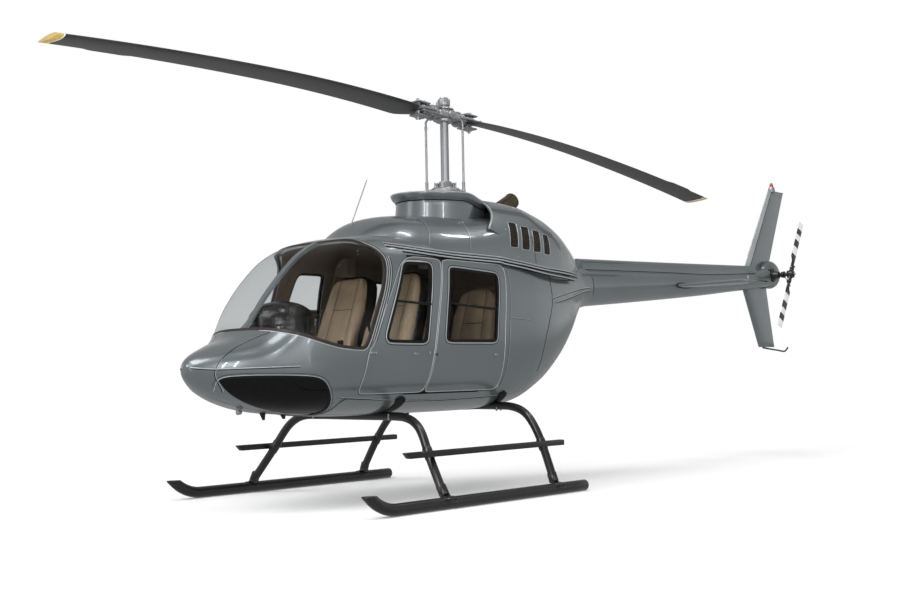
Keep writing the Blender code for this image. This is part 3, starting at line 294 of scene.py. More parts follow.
def makeStudio():
    makeWorld()
    bpy.context.scene.view_settings.view_transform = "Standard"
    bm = bmesh.new()
    bmesh.ops.create_circle(bm, cap_ends=True, segments=64, radius=studio["floorRadius"])
    mesh = bpy.data.meshes.new("floor")
    bm.to_mesh(mesh)
    bm.free()
    floor = placed("floor", mesh)
    level = studio["floorTone"]
    paper = {"Base Color": (level, level, level, 1), "Roughness": 1.0, "Specular IOR Level": 0.0}
    floor.data.materials.append(newMaterial("floorPaper", paper)[0])
    floor.visible_glossy = False
    for row in studio["lights"]:
        areaLight(*row)
    data = bpy.data.lights.new("broadSun", "SUN")
    data.energy = studio["sun"]
    data.angle = radians(studio["sunAngle"])
    data.specular_factor = studio["sunGloss"]
    placed("broadSun", data).rotation_euler = facing(-Vector(studio["sunFrom"]))
    print("studio set")


# what a finish below doesn't name
usualFinish = {"metallic": 0.0, "coat": 0.0, "coatRoughness": 0.1, "specular": 0.5, "cloudDetail": 6,
               "grainDetail": 2, "grainShare": 0.35, "ramp": (0.42, 0.95), "gloss": (0.8, 1.25),
               "depth": 0.001}

finishes = {
    "paint": {"colour": (0.185, 0.212, 0.220), "metallic": 0.70, "roughness": 0.30, "coat": 0.9,
              "coatRoughness": 0.05, "spread": 0.10, "grain": 900, "bump": 0.012, "cloud": 1.2},
    "blackGloss": {"colour": (0.006, 0.006, 0.006), "roughness": 0.35, "coat": 0.5, "coatRoughness": 0.08,
                   "spread": 0.4, "grain": 260, "bump": 0.05, "cloud": 6},
    "bladeSkin": {"colour": (0.030, 0.031, 0.033), "metallic": 0.1, "roughness": 0.42, "coat": 0.2,
                  "coatRoughness": 0.25, "spread": 0.35, "grain": 300, "bump": 0.04, "cloud": 3},
    "steel": {"colour": (0.42, 0.43, 0.44), "metallic": 0.9, "roughness": 0.40, "spread": 0.06, "grain": 420,
              "bump": 0.0, "cloud": 5},
    "alloy": {"colour": (0.42, 0.42, 0.42), "metallic": 0.9, "roughness": 0.40, "spread": 0.2, "grain": 300,
              "bump": 0.08, "cloud": 9},
    "bronze": {"colour": (0.135, 0.105, 0.072), "metallic": 0.85, "roughness": 0.30, "spread": 0.5,
               "grain": 200, "bump": 0.06, "cloud": 16},
    "rubber": {"colour": (0.005, 0.005, 0.005), "roughness": 0.55, "specular": 0.2, "spread": 0.3,
               "grain": 600, "bump": 0.06, "cloud": 8},
    "trimBrown": {"colour": (0.018, 0.012, 0.009), "roughness": 0.45, "spread": 0.3, "grain": 500,
                  "bump": 0.05, "cloud": 8},
    "lining": {"colour": (0.075, 0.052, 0.032), "roughness": 0.75, "spread": 0.25, "grain": 420,
               "bump": 0.15, "cloud": 7},
    "deck": {"colour": (0.030, 0.021, 0.014), "roughness": 0.9, "spread": 0.45, "grain": 700,
             "bump": 0.35, "cloud": 9},
    "dash": {"colour": (0.007, 0.007, 0.006), "roughness": 0.24, "specular": 0.4, "coat": 0.1,
             "coatRoughness": 0.2, "spread": 0.3, "grain": 900, "bump": 0.0, "cloud": 3},
    "whitePaint": {"colour": (0.78, 0.78, 0.76), "roughness": 0.35, "coat": 0.4, "spread": 0.06,
                   "grain": 400, "bump": 0.03, "cloud": 8},
    "yellowPaint": {"colour": (0.52, 0.36, 0.075), "roughness": 0.35, "coat": 0.4, "spread": 0.15,
                    "grain": 400, "bump": 0.03, "cloud": 8},
    # painted highlight: a paint paler than the body's, for the beads and bands that stand for edges catching
    # the light
    "edgePaint": {"colour": (0.50, 0.53, 0.54), "metallic": 0.6, "roughness": 0.34, "coat": 0.3,
                  "coatRoughness": 0.15, "spread": 0.08, "grain": 700, "bump": 0.0, "cloud": 3},
    "louvreBronze": {"colour": (0.060, 0.046, 0.034), "metallic": 0.5, "roughness": 0.45, "spread": 0.35,
                     "grain": 300, "bump": 0.06, "cloud": 12},
    # painted shade: a near-black colour for inner faces and openings, standing for the shade inside them
    "darkRecess": {"colour": (0.020, 0.015, 0.011), "metallic": 0.3, "roughness": 0.6, "spread": 0.3,
                   "grain": 300, "bump": 0.1, "cloud": 9},
}


def onObject(tree, *textures):    # the textures follow the object's own coordinates
    place = addNode(tree, "TexCoord")
    for texture in textures:
        join(tree, place.outputs["Object"], texture.inputs["Vector"])


def intoShader(tree, socket, slot):
    join(tree, socket, tree.nodes["Principled BSDF"].inputs[slot])


def twoTone(tree, socket, ends, colours):
    ramp = addNode(tree, "ValToRGB")
    for spot, position, colour in zip(ramp.color_ramp.elements, ends, colours):
        spot.position = position
        spot.color = (*colour, 1)
    join(tree, socket, ramp.inputs["Fac"])
    intoShader(tree, ramp.outputs["Color"], "Base Color")


def glossFrom(tree, socket, low, high, start=0.0, end=1.0):
    gloss = addNode(tree, "MapRange", {"From Min": start, "From Max": end, "To Min": low, "To Max": high})
    join(tree, socket, gloss.inputs["Value"])
    intoShader(tree, gloss.outputs["Result"], "Roughness")


def bumpFrom(tree, socket, strength, depth):
    bump = addNode(tree, "Bump", {"Strength": strength, "Distance": depth})
    join(tree, socket, bump.inputs["Height"])
    intoShader(tree, bump.outputs["Normal"], "Normal")


def variedMaterial(name):
    facts = {**usualFinish, **finishes[name]}
    made, tree = newMaterial(name, {"Metallic": facts["metallic"], "Coat Weight": facts["coat"],
                                    "Coat Roughness": facts["coatRoughness"],
                                    "Specular IOR Level": facts["specular"]})
    cloud = addNode(tree, "TexNoise", {"Scale": facts["cloud"], "Detail": facts["cloudDetail"]})
    grain = addNode(tree, "TexNoise", {"Scale": facts["grain"], "Detail": facts["grainDetail"]})
    onObject(tree, cloud, grain)
    blend = multiplyAdd(tree, {1: facts["grainShare"]})
    join(tree, grain.outputs["Fac"], blend.inputs[0])
    join(tree, cloud.outputs["Fac"], blend.inputs[2])
    tones = [[min(c * (1 + way * facts["spread"]), 1) for c in facts["colour"]] for way in (-1, 1)]
    twoTone(tree, blend.outputs[0], facts["ramp"], tones)
    low, high = facts["gloss"]
    glossFrom(tree, cloud.outputs["Fac"], facts["roughness"] * low, min(facts["roughness"] * high, 1))
    bumpFrom(tree, grain.outputs["Fac"], facts["bump"], facts["depth"])
    return made


leather = {"colour": (0.250, 0.180, 0.112), "dark": (0.170, 0.120, 0.074), "ramp": (0.30, 0.62),
           "roughness": 0.46, "gloss": (0.8, 1.3), "specular": 0.45, "grain": 260, "folds": (26, 7),
           "patches": (5, 4), "poreHeight": 2.5, "bump": 0.30, "depth": 0.002}


def leatherMaterial():
    made, tree = newMaterial("leather", {"Specular IOR Level": leather["specular"]})
    pores = addNode(tree, "TexVoronoi")
    pores.feature = "DISTANCE_TO_EDGE"
    pores.inputs["Scale"].default_value = leather["grain"]
    folds, patches = [addNode(tree, "TexNoise", {"Scale": leather[key][0], "Detail": leather[key][1]})
                      for key in ("folds", "patches")]
    onObject(tree, pores, folds, patches)
    twoTone(tree, patches.outputs["Fac"], leather["ramp"], (leather["dark"], leather["colour"]))
    low, high = leather["gloss"]
    glossFrom(tree, folds.outputs["Fac"], leather["roughness"] * low, leather["roughness"] * high)
    height = multiplyAdd(tree, {1: leather["poreHeight"]})
    join(tree, pores.outputs["Distance"], height.inputs[0])
    join(tree, folds.outputs["Fac"], height.inputs[2])
    bumpFrom(tree, height.outputs[0], leather["bump"], leather["depth"])
    return made


glasses = {
    "clear": {"colour": (0.90, 0.92, 0.92), "ior": 1.06, "through": 1.0, "coat": 0.012},
    "smoked": {"colour": (0.010, 0.010, 0.011), "ior": 1.06, "through": 0.6, "coat": 0.30},
    "lens": {"colour": (0.85, 0.12, 0.03), "ior": 1.45, "through": 1.0, "coat": 0.012},
}
smears = {"scale": 7, "detail": 5, "range": (0.45, 0.80), "roughness": 0.02, "coatRoughness": 0.02}


def glassMaterial(name):
    facts = glasses[name]
    made, tree = newMaterial(name + "Glass", {"Base Color": (*facts["colour"], 1), "IOR": facts["ior"],
                                              "Transmission Weight": facts["through"],
                                              "Coat Weight": facts["coat"],
                                              "Coat Roughness": smears["coatRoughness"]})
    smear = addNode(tree, "TexNoise", {"Scale": smears["scale"], "Detail": smears["detail"]})
    onObject(tree, smear)
    glossFrom(tree, smear.outputs["Fac"], 0.0, smears["roughness"], *smears["range"])
    return made


def makeMaterials():
    made = {name: variedMaterial(name) for name in finishes}
    made["leather"] = leatherMaterial()
    for name in glasses:
        made[name] = glassMaterial(name)
    print("materials made")
    return made


def gentle(first, second):
    return 0.0 if first * second <= 0 else 2 * first * second / (first + second)


def smoothRow(table, x):    # the table's row at x, along a monotone cubic
    k = 0
    while k < len(table) - 2 and x > table[k + 1][0]:
        k += 1
    left, right = table[k], table[k + 1]
    span = right[0] - left[0]
    t = min(max((x - left[0]) / span, 0), 1)
    values = []
    for c in range(1, len(left)):
        rise = (right[c] - left[c]) / span
        before = rise
        after = rise
        if k > 0:
            before = gentle(rise, (left[c] - table[k - 1][c]) / (left[0] - table[k - 1][0]))
        if k < len(table) - 2:
            after = gentle(rise, (table[k + 2][c] - right[c]) / (table[k + 2][0] - right[0]))
        a = (1 + 2 * t) * (1 - t) ** 2 * left[c] + t * (1 - t) ** 2 * span * before
        b = t * t * (3 - 2 * t) * right[c] - t * t * (1 - t) * span * after
        values.append(a + b)
    return values


def power(value, exponent):
    return abs(value) ** (2 / exponent) * (1 if value >= 0 else -1)


def skinY(x, z, out=0.0):    # half the body's width at x and z
    low, wide, high, half, upper, lower = smoothRow(bodyRows, x)
    shape = upper if z > wide else lower
    reach = high + out - wide if z > wide else wide - low + out
    part = min(abs(z - wide) / reach, 1)
    return (half + out) * (1 - part ** shape) ** (1 / shape)


denseX = np.arange(-2.70, 1.96, 0.002)
denseRows = {"body": np.array([smoothRow(bodyRows, x) for x in denseX]),
             "front": np.array([smoothRow(frontCowlRows, x) for x in denseX]),
             "engine": np.array([smoothRow(engineCowlRows, x) for x in denseX])}


def rowsAt(kind, x):
    rows = denseRows[kind]
    return [np.interp(x, denseX, rows[:, c]) for c in range(rows.shape[1])]


def fieldAt(kind, point):    # below nought inside the shape, above it outside
    x, y, z = point[:, 0], np.abs(point[:, 1]), point[:, 2]
    if kind == "body":
        low, wide, high, half, upper, lower = rowsAt(kind, x)
        above = z > wide
        shape = np.where(above, upper, lower)
        reach = np.where(above, high - wide, wide - low)
        return (y / half) ** shape + (np.abs(z - wide) / reach) ** shape - 1
    base, high, half, shape = rowsAt(kind, x)
    return (y / half) ** shape + (np.maximum(z - base, 0) / (high - base)) ** shape - 1


def fieldNormals(kind, point):
    slope = np.zeros_like(point)
    for axis, step in ((0, 0.004), (1, 0.001), (2, 0.001)):
        shift = np.zeros(3)
        shift[axis] = step
        slope[:, axis] = (fieldAt(kind, point + shift) - fieldAt(kind, point - shift)) / (2 * step)
    size = np.linalg.norm(slope, axis=1, keepdims=True)
    return slope / np.maximum(size, 1e-9)


def meshFrom(bm, name):
    mesh = bpy.data.meshes.new(name)
    bm.to_mesh(mesh)
    bm.free()
    return mesh


def loftGrid(stations, count, place, name):    # a grid wrapped round into a closed tube with flat ends
    bm = bmesh.new()
    rows = len(stations) - 1
    bmesh.ops.create_grid(bm, x_segments=rows, y_segments=count, size=1)
    for vert in bm.verts:
        i = round((vert.co.x + 1) / 2 * rows)
        j = round((vert.co.y + 1) / 2 * count)
        vert.co = place(i, j % count)
    bmesh.ops.remove_doubles(bm, verts=bm.verts, dist=1e-6)
    edges = [edge for edge in bm.edges if edge.is_boundary]
    bmesh.ops.holes_fill(bm, edges=edges, sides=0)
    bmesh.ops.recalc_face_normals(bm, faces=bm.faces)
    return meshFrom(bm, name)


def bodySolid(inset, first=-2.694, last=1.8297, step=0.022, count=128):
    stations = list(np.linspace(first, last, max(int((last - first) / step), 4)))
    if first < -2.6:    # closer rings where the nose turns in
        stations = sorted(set(stations + list(np.linspace(first, first + 0.12, 16))))
    rows = [smoothRow(bodyRows, x) for x in stations]

    def place(i, j):
        low, wide, high, half, upper, lower = rows[i]
        angle = 2 * pi * j / count
        shape = upper if sin(angle) >= 0 else lower
        reach = high - inset - wide if sin(angle) >= 0 else wide - low - inset
        return (stations[i], max(half - inset, 0.004) * power(cos(angle), shape),
                wide + max(reach, 0.004) * power(sin(angle), shape))

    return loftGrid(stations, count, place, "body")


def cowlSolid(table, inset, first, last, step=0.02, count=96):
    stations = list(np.linspace(first, last, max(int((last - first) / step), 4)))
    rows = [smoothRow(table, x) for x in stations]
    arch = count - 6

    def place(i, j):
        base, high, half, shape = rows[i]
        if j <= arch:
            angle = pi * j / arch
            return (stations[i], (half - inset) * power(cos(angle), shape),
                    base + (high - inset - base) * power(sin(angle), shape))
        t = (j - arch) / 6    # the straight skirt underneath
        return (stations[i], (inset - half) * (1 - 2 * t), base - 0.2)

    return loftGrid(stations, count, place, "cowl")


def prism(outline, lowY, highY):
    bm = bmesh.new()
    face = bm.faces.new([bm.verts.new((x, lowY, z)) for x, z in outline])
    pulled = bmesh.ops.extrude_face_region(bm, geom=[face])
    verts = [v for v in pulled["geom"] if isinstance(v, bmesh.types.BMVert)]
    bmesh.ops.translate(bm, verts=verts, vec=(0, highY - lowY, 0))
    bmesh.ops.recalc_face_normals(bm, faces=bm.faces)
    return meshFrom(bm, "prism")


def block(low, high):
    bm = bmesh.new()
    bmesh.ops.create_cube(bm, size=1)
    size = Vector(high) - Vector(low)
    bmesh.ops.scale(bm, verts=bm.verts, vec=size)
    bmesh.ops.translate(bm, verts=bm.verts, vec=Vector(low) + size / 2)
    return meshFrom(bm, "block")


def softened(outline, rounds=2, size=0.03):    # corners cut, so that the outline runs smoothly
    points = [Vector(p) for p in outline]
    for _ in range(rounds):
        cut = []
        for one, two in zip(points, points[1:] + points[:1]):
            reach = min(0.25, size / max((two - one).length, 1e-6))
            cut += [one.lerp(two, reach), one.lerp(two, 1 - reach)]
        points = cut
    return tuple(tuple(p) for p in points)


def grown(outline, distance):
    area = 0
    for (x1, z1), (x2, z2) in zip(outline, outline[1:] + outline[:1]):
        area += x1 * z2 - x2 * z1
    side = 1 if area > 0 else -1
    moved = []
    count = len(outline)
    for i in range(count):
        before, here, after = (Vector(outline[(i + k) % count]) for k in (-1, 0, 1))
        one = (here - before).normalized()
        two = (after - here).normalized()
        outOne = Vector((one.y, -one.x)) * side
        outTwo = Vector((two.y, -two.x)) * side
        middle = (outOne + outTwo).normalized()
        moved.append(tuple(here + middle * distance / max(middle.dot(outOne), 0.5)))
    return tuple(moved)


def evaluated(obj, *others):    # the finished mesh; the objects that made it go
    graph = bpy.context.evaluated_depsgraph_get()
    mesh = bpy.data.meshes.new_from_object(obj.evaluated_get(graph))
    for helper in (obj, *others):
        bpy.data.objects.remove(helper, do_unlink=True)
    return mesh


def carved(mesh, tools):    # the mesh after each (tool, way) in turn
    base = placed("base", mesh)
    helpers = []
    for tool, way in tools:
        helpers.append(placed("tool", tool))
        cut = base.modifiers.new("cut", "BOOLEAN")
        cut.object = helpers[-1]
        cut.operation = way
        cut.solver = "MANIFOLD"
    return evaluated(base, *helpers)


def shaded(mesh, angle):    # smooth, with edges sharper than the angle left crisp
    mesh.shade_smooth()
    mesh.set_sharp_from_angle(angle=radians(angle))
    return mesh


def shadeSkin(mesh, kind, inner=None):    # the surface's own normals on the skin, flat faces at the cuts
    mesh.shade_smooth()
    faces = len(mesh.polygons)
    centre = np.zeros(faces * 3)
    mesh.polygons.foreach_get("center", centre)
    facing = np.zeros(faces * 3)
    mesh.polygons.foreach_get("normal", facing)
    centre, facing = centre.reshape(-1, 3), facing.reshape(-1, 3)
    match = (fieldNormals(kind, centre) * facing).sum(1)
    start = np.zeros(faces, int)
    total = np.zeros(faces, int)
    mesh.polygons.foreach_get("loop_start", start)
    mesh.polygons.foreach_get("loop_total", total)
    corner = np.zeros(len(mesh.loops), int)
    mesh.loops.foreach_get("vertex_index", corner)
    points = np.zeros(len(mesh.vertices) * 3)
    mesh.vertices.foreach_get("co", points)
    ideal = fieldNormals(kind, points.reshape(-1, 3))[corner]
    order = np.argsort(start)
    owner = np.repeat(order, total[order])
    side = match[owner][:, None]
    flush = 0.90    # how closely a face has to follow the surface
    normals = np.where(side > flush, ideal, np.where(side < -flush, -ideal, facing[owner]))
    mesh.normals_split_custom_set(normals.tolist())
    if inner:
        mesh.polygons.foreach_set("material_index", (match < -0.5).astype(np.int32))


def addPiece(name, mesh, finishNames, body, nodes=()):
    mesh.transform(Matrix.Translation((mastX, 0, 0)))
    index = np.zeros(len(mesh.polygons), np.int32)
    mesh.polygons.foreach_get("material_index", index)
    mesh.materials.clear()
    for word in [finishNames] if isinstance(finishNames, str) else finishNames:
        mesh.materials.append(material[word])
    mesh.polygons.foreach_set("material_index", np.minimum(index, len(mesh.materials) - 1))
    mesh.name = name
    obj = placed(name, mesh)
    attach(obj, body)
    if nodes:
        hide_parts(*nodes)
    return obj


def mirroredMesh(mesh):
    other = mesh.copy()
    bm = bmesh.new()
    bm.from_mesh(other)
    bmesh.ops.scale(bm, verts=bm.verts, vec=(1, -1, 1))
    bmesh.ops.reverse_faces(bm, faces=bm.faces)
    bm.to_mesh(other)
    bm.free()
    return other


def bothSides(name, mesh, finishNames, bodyName, nodes=(), inner=None):
    for one, side in ((mesh, "port"), (mirroredMesh(mesh), "starboard")):
        shadeSkin(one, "body", inner)
        body = bodyName.replace("SIDE", side)
        addPiece(name.replace("SIDE", side), one, finishNames, body,
                 [n.replace("SIDE", side) for n in nodes])


def onSkin(x, z, out=0.0):
    return Vector((x, -skinY(x, z, out), z))


def densePath(points, step=0.012, closed=False):    # no stretch longer than the step
    points = [Vector(p) for p in points]
    if closed:
        points.append(points[0])
    path = []
    for one, two in zip(points, points[1:]):
        pieces = max(int((two - one).length / step), 1)
        for k in range(pieces):
            path.append(one.lerp(two, k / pieces))
    if not closed:
        path.append(points[-1])
    return path


def roundBar(points, radius, closed=False, sides=3):
    curve = bpy.data.curves.new("bar", "CURVE")
    curve.dimensions = "3D"
    curve.bevel_depth = radius
    curve.bevel_resolution = sides
    curve.use_fill_caps = True
    line = curve.splines.new("POLY")
    line.points.add(len(points) - 1)
    for spot, point in zip(line.points, points):
        spot.co = (*point, 1)
    line.use_cyclic_u = closed
    mesh = evaluated(placed("bar", curve))
    bpy.data.curves.remove(curve)
    mesh.shade_smooth()
    return mesh


def joinMeshes(meshes, name="joined"):
    bm = bmesh.new()
    for mesh in meshes:
        bm.from_mesh(mesh)
    return meshFrom(bm, name)


def beadPair(name, meshes, finish, bodyName):    # thin trim on port, and mirrored to starboard
    mesh = joinMeshes(meshes)
    for one, side in ((mesh, "port"), (mirroredMesh(mesh), "starboard")):
        addPiece(name.replace("SIDE", side), shaded(one, 40), finish, bodyName.replace("SIDE", side))


panels = {"wall": 0.030, "gap": 0.0003, "shutGap": 0.005, "noseSeam": -1.66, "bulkhead": 0.76,
          "sill": 0.815, "roofLine": 1.880, "boomStart": 1.83}
windshieldEdge = softened(windshieldLine, 1)
crewDoorEdge = softened(crewDoorLine)
rearDoorEdge = softened(rearDoorLine)
crewWindowEdge = softened(crewWindowLine)
rearWindowEdge = softened(rearWindowLine)
chinEdge = softened(chinLine)
doorSet = (("crew", crewDoorEdge, crewWindowEdge), ("rear", rearDoorEdge, rearWindowEdge))


def portPrism(outline, grow=0.0, near=0.30):
    return prism(grown(outline, grow) if grow else outline, -0.9, -near)


def cutBlock(low, high, way="INTERSECT"):
    return block(low, high), way


def makeBody():
    facts = panels
    gap, seam, sill, roofLine = facts["gap"], facts["noseSeam"], facts["sill"], facts["roofLine"]
    skin, both = ("paint", "lining"), 0.9    # both: a Y beyond either side of the cabin
    inner = (bodySolid(facts["wall"], -2.56, 1.78), "DIFFERENCE")
    windshield = (prism(windshieldEdge, -0.8, 0.8), "DIFFERENCE")
    chins = [(prism(chinEdge, low, high), "DIFFERENCE") for low, high in ((-both, -0.20), (0.20, both))]
    nose = carved(bodySolid(0), [cutBlock((-2.9, -both, 0.3), (seam, both, 2.6)), inner, windshield, *chins])
    shadeSkin(nose, "body", True)
    addPiece("noseSkin", nose, ("paint", "dash"), "airframe", ["nose_shell"])
    cabin = carved(bodySolid(0, seam + gap, facts["bulkhead"] - gap), [inner])
    roof = carved(cabin, [cutBlock((-2, -both, roofLine + gap), (1, both, 2.6)), windshield])
    shadeSkin(roof, "body", True)
    addPiece("roofSkin", roof, skin, "airframe", ["roof_shell"])
    belly = carved(cabin, [cutBlock((-2, -both, 0.3), (1, both, sill - gap))])
    shadeSkin(belly, "body", True)
    addPiece("bellySkin", belly, skin, "airframe", ["belly_shell"])
    crewHole, rearHole = [(portPrism(door, facts["shutGap"] / 2), "DIFFERENCE")
                          for door in (crewDoorEdge, rearDoorEdge)]
    post = carved(cabin, [cutBlock((-2, -both, sill), (-1.1, -0.25, roofLine)), windshield, crewHole])
    bothSides("frontPostSkin_SIDE", post, skin, "airframe", ["front_post_SIDE"], inner=True)
    side = carved(cabin, [cutBlock((-0.25, -both, sill), (1, -0.25, roofLine)), rearHole])
    bothSides("sidePanelSkin_SIDE", side, skin, "airframe", ["side_panel_SIDE"], inner=True)
    for kind, door, window in doorSet:
        leaf = carved(cabin, [(portPrism(door, -facts["shutGap"] / 2), "INTERSECT"),
                              (portPrism(window), "DIFFERENCE")])
        body = f"{kind}_door_SIDE"
        bothSides(f"{kind}DoorSkin_SIDE", leaf, skin, body, [body], inner=True)
    band = carved(bodySolid(0.0305, -1.64, 0.30), [(bodySolid(0.041, -1.60, 0.28), "DIFFERENCE")])
    for kind, door in (("crew", crewDoorEdge), ("rear", rearDoorEdge)):    # frames behind the doors' edges
        frame = carved(band, [(portPrism(door, 0.022), "INTERSECT"),
                              (portPrism(grown(door, -0.020), 0, 0.25), "DIFFERENCE")])
        bothSides(f"{kind}DoorFrame_SIDE", frame, "lining", "airframe")
    aft = carved(bodySolid(0, facts["bulkhead"], facts["boomStart"]),
                 [(bodySolid(0.009, 0.70, 1.74), "DIFFERENCE")])
    shadeSkin(aft, "body", True)
    # its inner faces take the near-black of painted shade
    addPiece("aftSkin", aft, ("paint", "darkRecess"), "airframe", ["aft_fuselage"])
    print("body panels made")


glazing = {"outer": 0.002, "inner": 0.008, "sunk": 0.012, "postHalf": 0.028, "fit": -0.0004, "postWall": 0.03}


def makeGlass():
    facts = glazing
    pane = carved(bodySolid(facts["outer"]), [(bodySolid(facts["inner"]), "DIFFERENCE")])
    postHalf, fit = facts["postHalf"], facts["fit"]
    front = carved(pane, [(prism(grown(windshieldEdge, fit), -0.8, -postHalf), "INTERSECT")])
    bothSides("windshieldPane_SIDE", front, "clear", "airframe", ["windshield_SIDE"])
    chin = carved(pane, [(prism(grown(chinEdge, fit), -0.9, -0.2004), "INTERSECT")])
    bothSides("chinPane_SIDE", chin, "smoked", "airframe", ["chin_window_SIDE"])
    sunk = carved(bodySolid(facts["inner"]), [(bodySolid(facts["sunk"]), "DIFFERENCE")])
    for kind, window in (("crew", crewWindowEdge), ("rear", rearWindowEdge)):
        glass = carved(sunk, [(portPrism(window, fit), "INTERSECT")])
        bothSides(f"{kind}Pane_SIDE", glass, "clear", f"{kind}_door_SIDE", [f"{kind}_window_SIDE"])
    post = carved(carved(bodySolid(-facts["outer"]), [(bodySolid(facts["postWall"]), "DIFFERENCE")]),
                  [cutBlock((-2.5, -postHalf, 1.2), (-1.2, postHalf, 2.4)),
                   (prism(grown(windshieldEdge, fit), -0.8, 0.8), "INTERSECT")])
    shadeSkin(post, "body", True)
    addPiece("centrePostCover", post, ("paint", "trimBrown"), "airframe", ["centre_post"])
    for obj in bpy.data.objects:
        if "Pane_" in obj.name:
            obj.visible_shadow = False
    print("glazing made")


seals = {
    "lap": 0.004, "proud": 0.003, "depth": 0.016,
    # outline, width, nearest Y, body, finish
    "lines": {
        "windshield": (windshieldEdge, 0.018, 0.0, "airframe", "trimBrown"),
        "chin": (chinEdge, 0.012, 0.20, "airframe", "rubber"),
        "crewWindow": (crewWindowEdge, 0.018, 0.30, "crew_door_SIDE", "rubber"),
        "rearWindow": (rearWindowEdge, 0.018, 0.30, "rear_door_SIDE", "rubber"),
    },
}


def makeSeals():
    ring = carved(bodySolid(-seals["proud"]), [(bodySolid(seals["depth"]), "DIFFERENCE")])
    for kind, (line, width, near, body, finish) in seals["lines"].items():
        strip = carved(ring, [(prism(grown(line, seals["lap"]), -0.9, -near), "INTERSECT"),
                              (prism(grown(line, -width), -0.95, -max(near - 0.05, -0.01)), "DIFFERENCE")])
        bothSides(f"{kind}Seal_SIDE", strip, finish, body)
    print("seals made")


louvres = {"count": 4, "left": 0.228, "step": 0.153, "top": 2.242, "width": 0.107, "drop": 0.024,
           "foot": 0.155, "footStep": 0.160, "low": 2.016, "lowDrop": 0.011, "corner": 0.009}


def louvreLine(i):
    left, top = louvres["left"] + louvres["step"] * i, louvres["top"] - louvres["drop"] * i
    foot, low = louvres["foot"] + louvres["footStep"] * i, louvres["low"] - louvres["lowDrop"] * i
    wide = louvres["width"]
    return ((left, top), (left + wide, top - 0.006), (foot + wide + 0.003, low), (foot, low + 0.001))


def spun(profile, steps=64, stretch=(1, 1, 1), turn=None, place=(0, 0, 0)):
    bm = bmesh.new()
    rim = [bm.verts.new((r, 0, z)) for r, z in profile]
    edges = [bm.edges.new((a, b)) for a, b in zip(rim, rim[1:])]
    if profile[0][0] > 0:
        edges.append(bm.edges.new((rim[-1], rim[0])))
    bmesh.ops.spin(bm, geom=rim + edges, cent=(0, 0, 0), axis=(0, 0, 1), angle=2 * pi, steps=steps,
                   use_merge=True)
    bmesh.ops.scale(bm, verts=bm.verts, vec=stretch)
    if turn:
        bmesh.ops.rotate(bm, verts=bm.verts, cent=(0, 0, 0), matrix=turn)
    bmesh.ops.translate(bm, verts=bm.verts, vec=place)
    bmesh.ops.remove_doubles(bm, verts=bm.verts, dist=1e-6)
    bmesh.ops.recalc_face_normals(bm, faces=bm.faces)
    return shaded(meshFrom(bm, "turned"), 38)


cowls = {
    "oval": 0.70,    # the collar's width over its length
    "sinkFrom": -0.16, "sinkOver": 0.32, "narrow": 0.16, "sink": 0.045,
    "intakeEdge": ((0.150, 2.60), (0.149, 2.455), (0.132, 2.385), (0.085, 2.310), (0.025, 2.245),
                   (-0.030, 2.195), (-0.060, 2.160)),
    "collar": ((0.492, 2.170), (0.518, 2.170), (0.510, 2.260), (0.500, 2.360), (0.496, 2.408), (0.502, 2.416),
               (0.526, 2.432), (0.540, 2.448), (0.5465, 2.461), (0.5475, 2.470), (0.545, 2.477),
               (0.536, 2.4805), (0.505, 2.480), (0.490, 2.470), (0.480, 2.442), (0.482, 2.20)),
    # dark sheets inside the intake: painted shade in the opening
    "shadeSheets": (((0.31, -0.36, 1.96), (0.32, 0.36, 2.36)), ((-0.44, -0.30, 2.08), (0.30, 0.30, 2.12))),
}
exhaust = {"place": (0.76, 0.06, 2.44), "lean": 62, "hole": 0.0725}


def sunkRim(point):
    t = min(max((point[0] - cowls["sinkFrom"]) / cowls["sinkOver"], 0), 1)
    t = t * t * (3 - 2 * t)
    return Vector((point[0], point[1] * (1 - cowls["narrow"] * t), point[2] - cowls["sink"] * t))


def cylinderTool(radius, low, high, steps, stretch=(1, 1, 1), turn=None, place=(0, 0, 0)):
    profile = ((0, low), (radius, low), (radius, high), (0, high))
    return spun(profile, steps, stretch, turn, place), "DIFFERENCE"


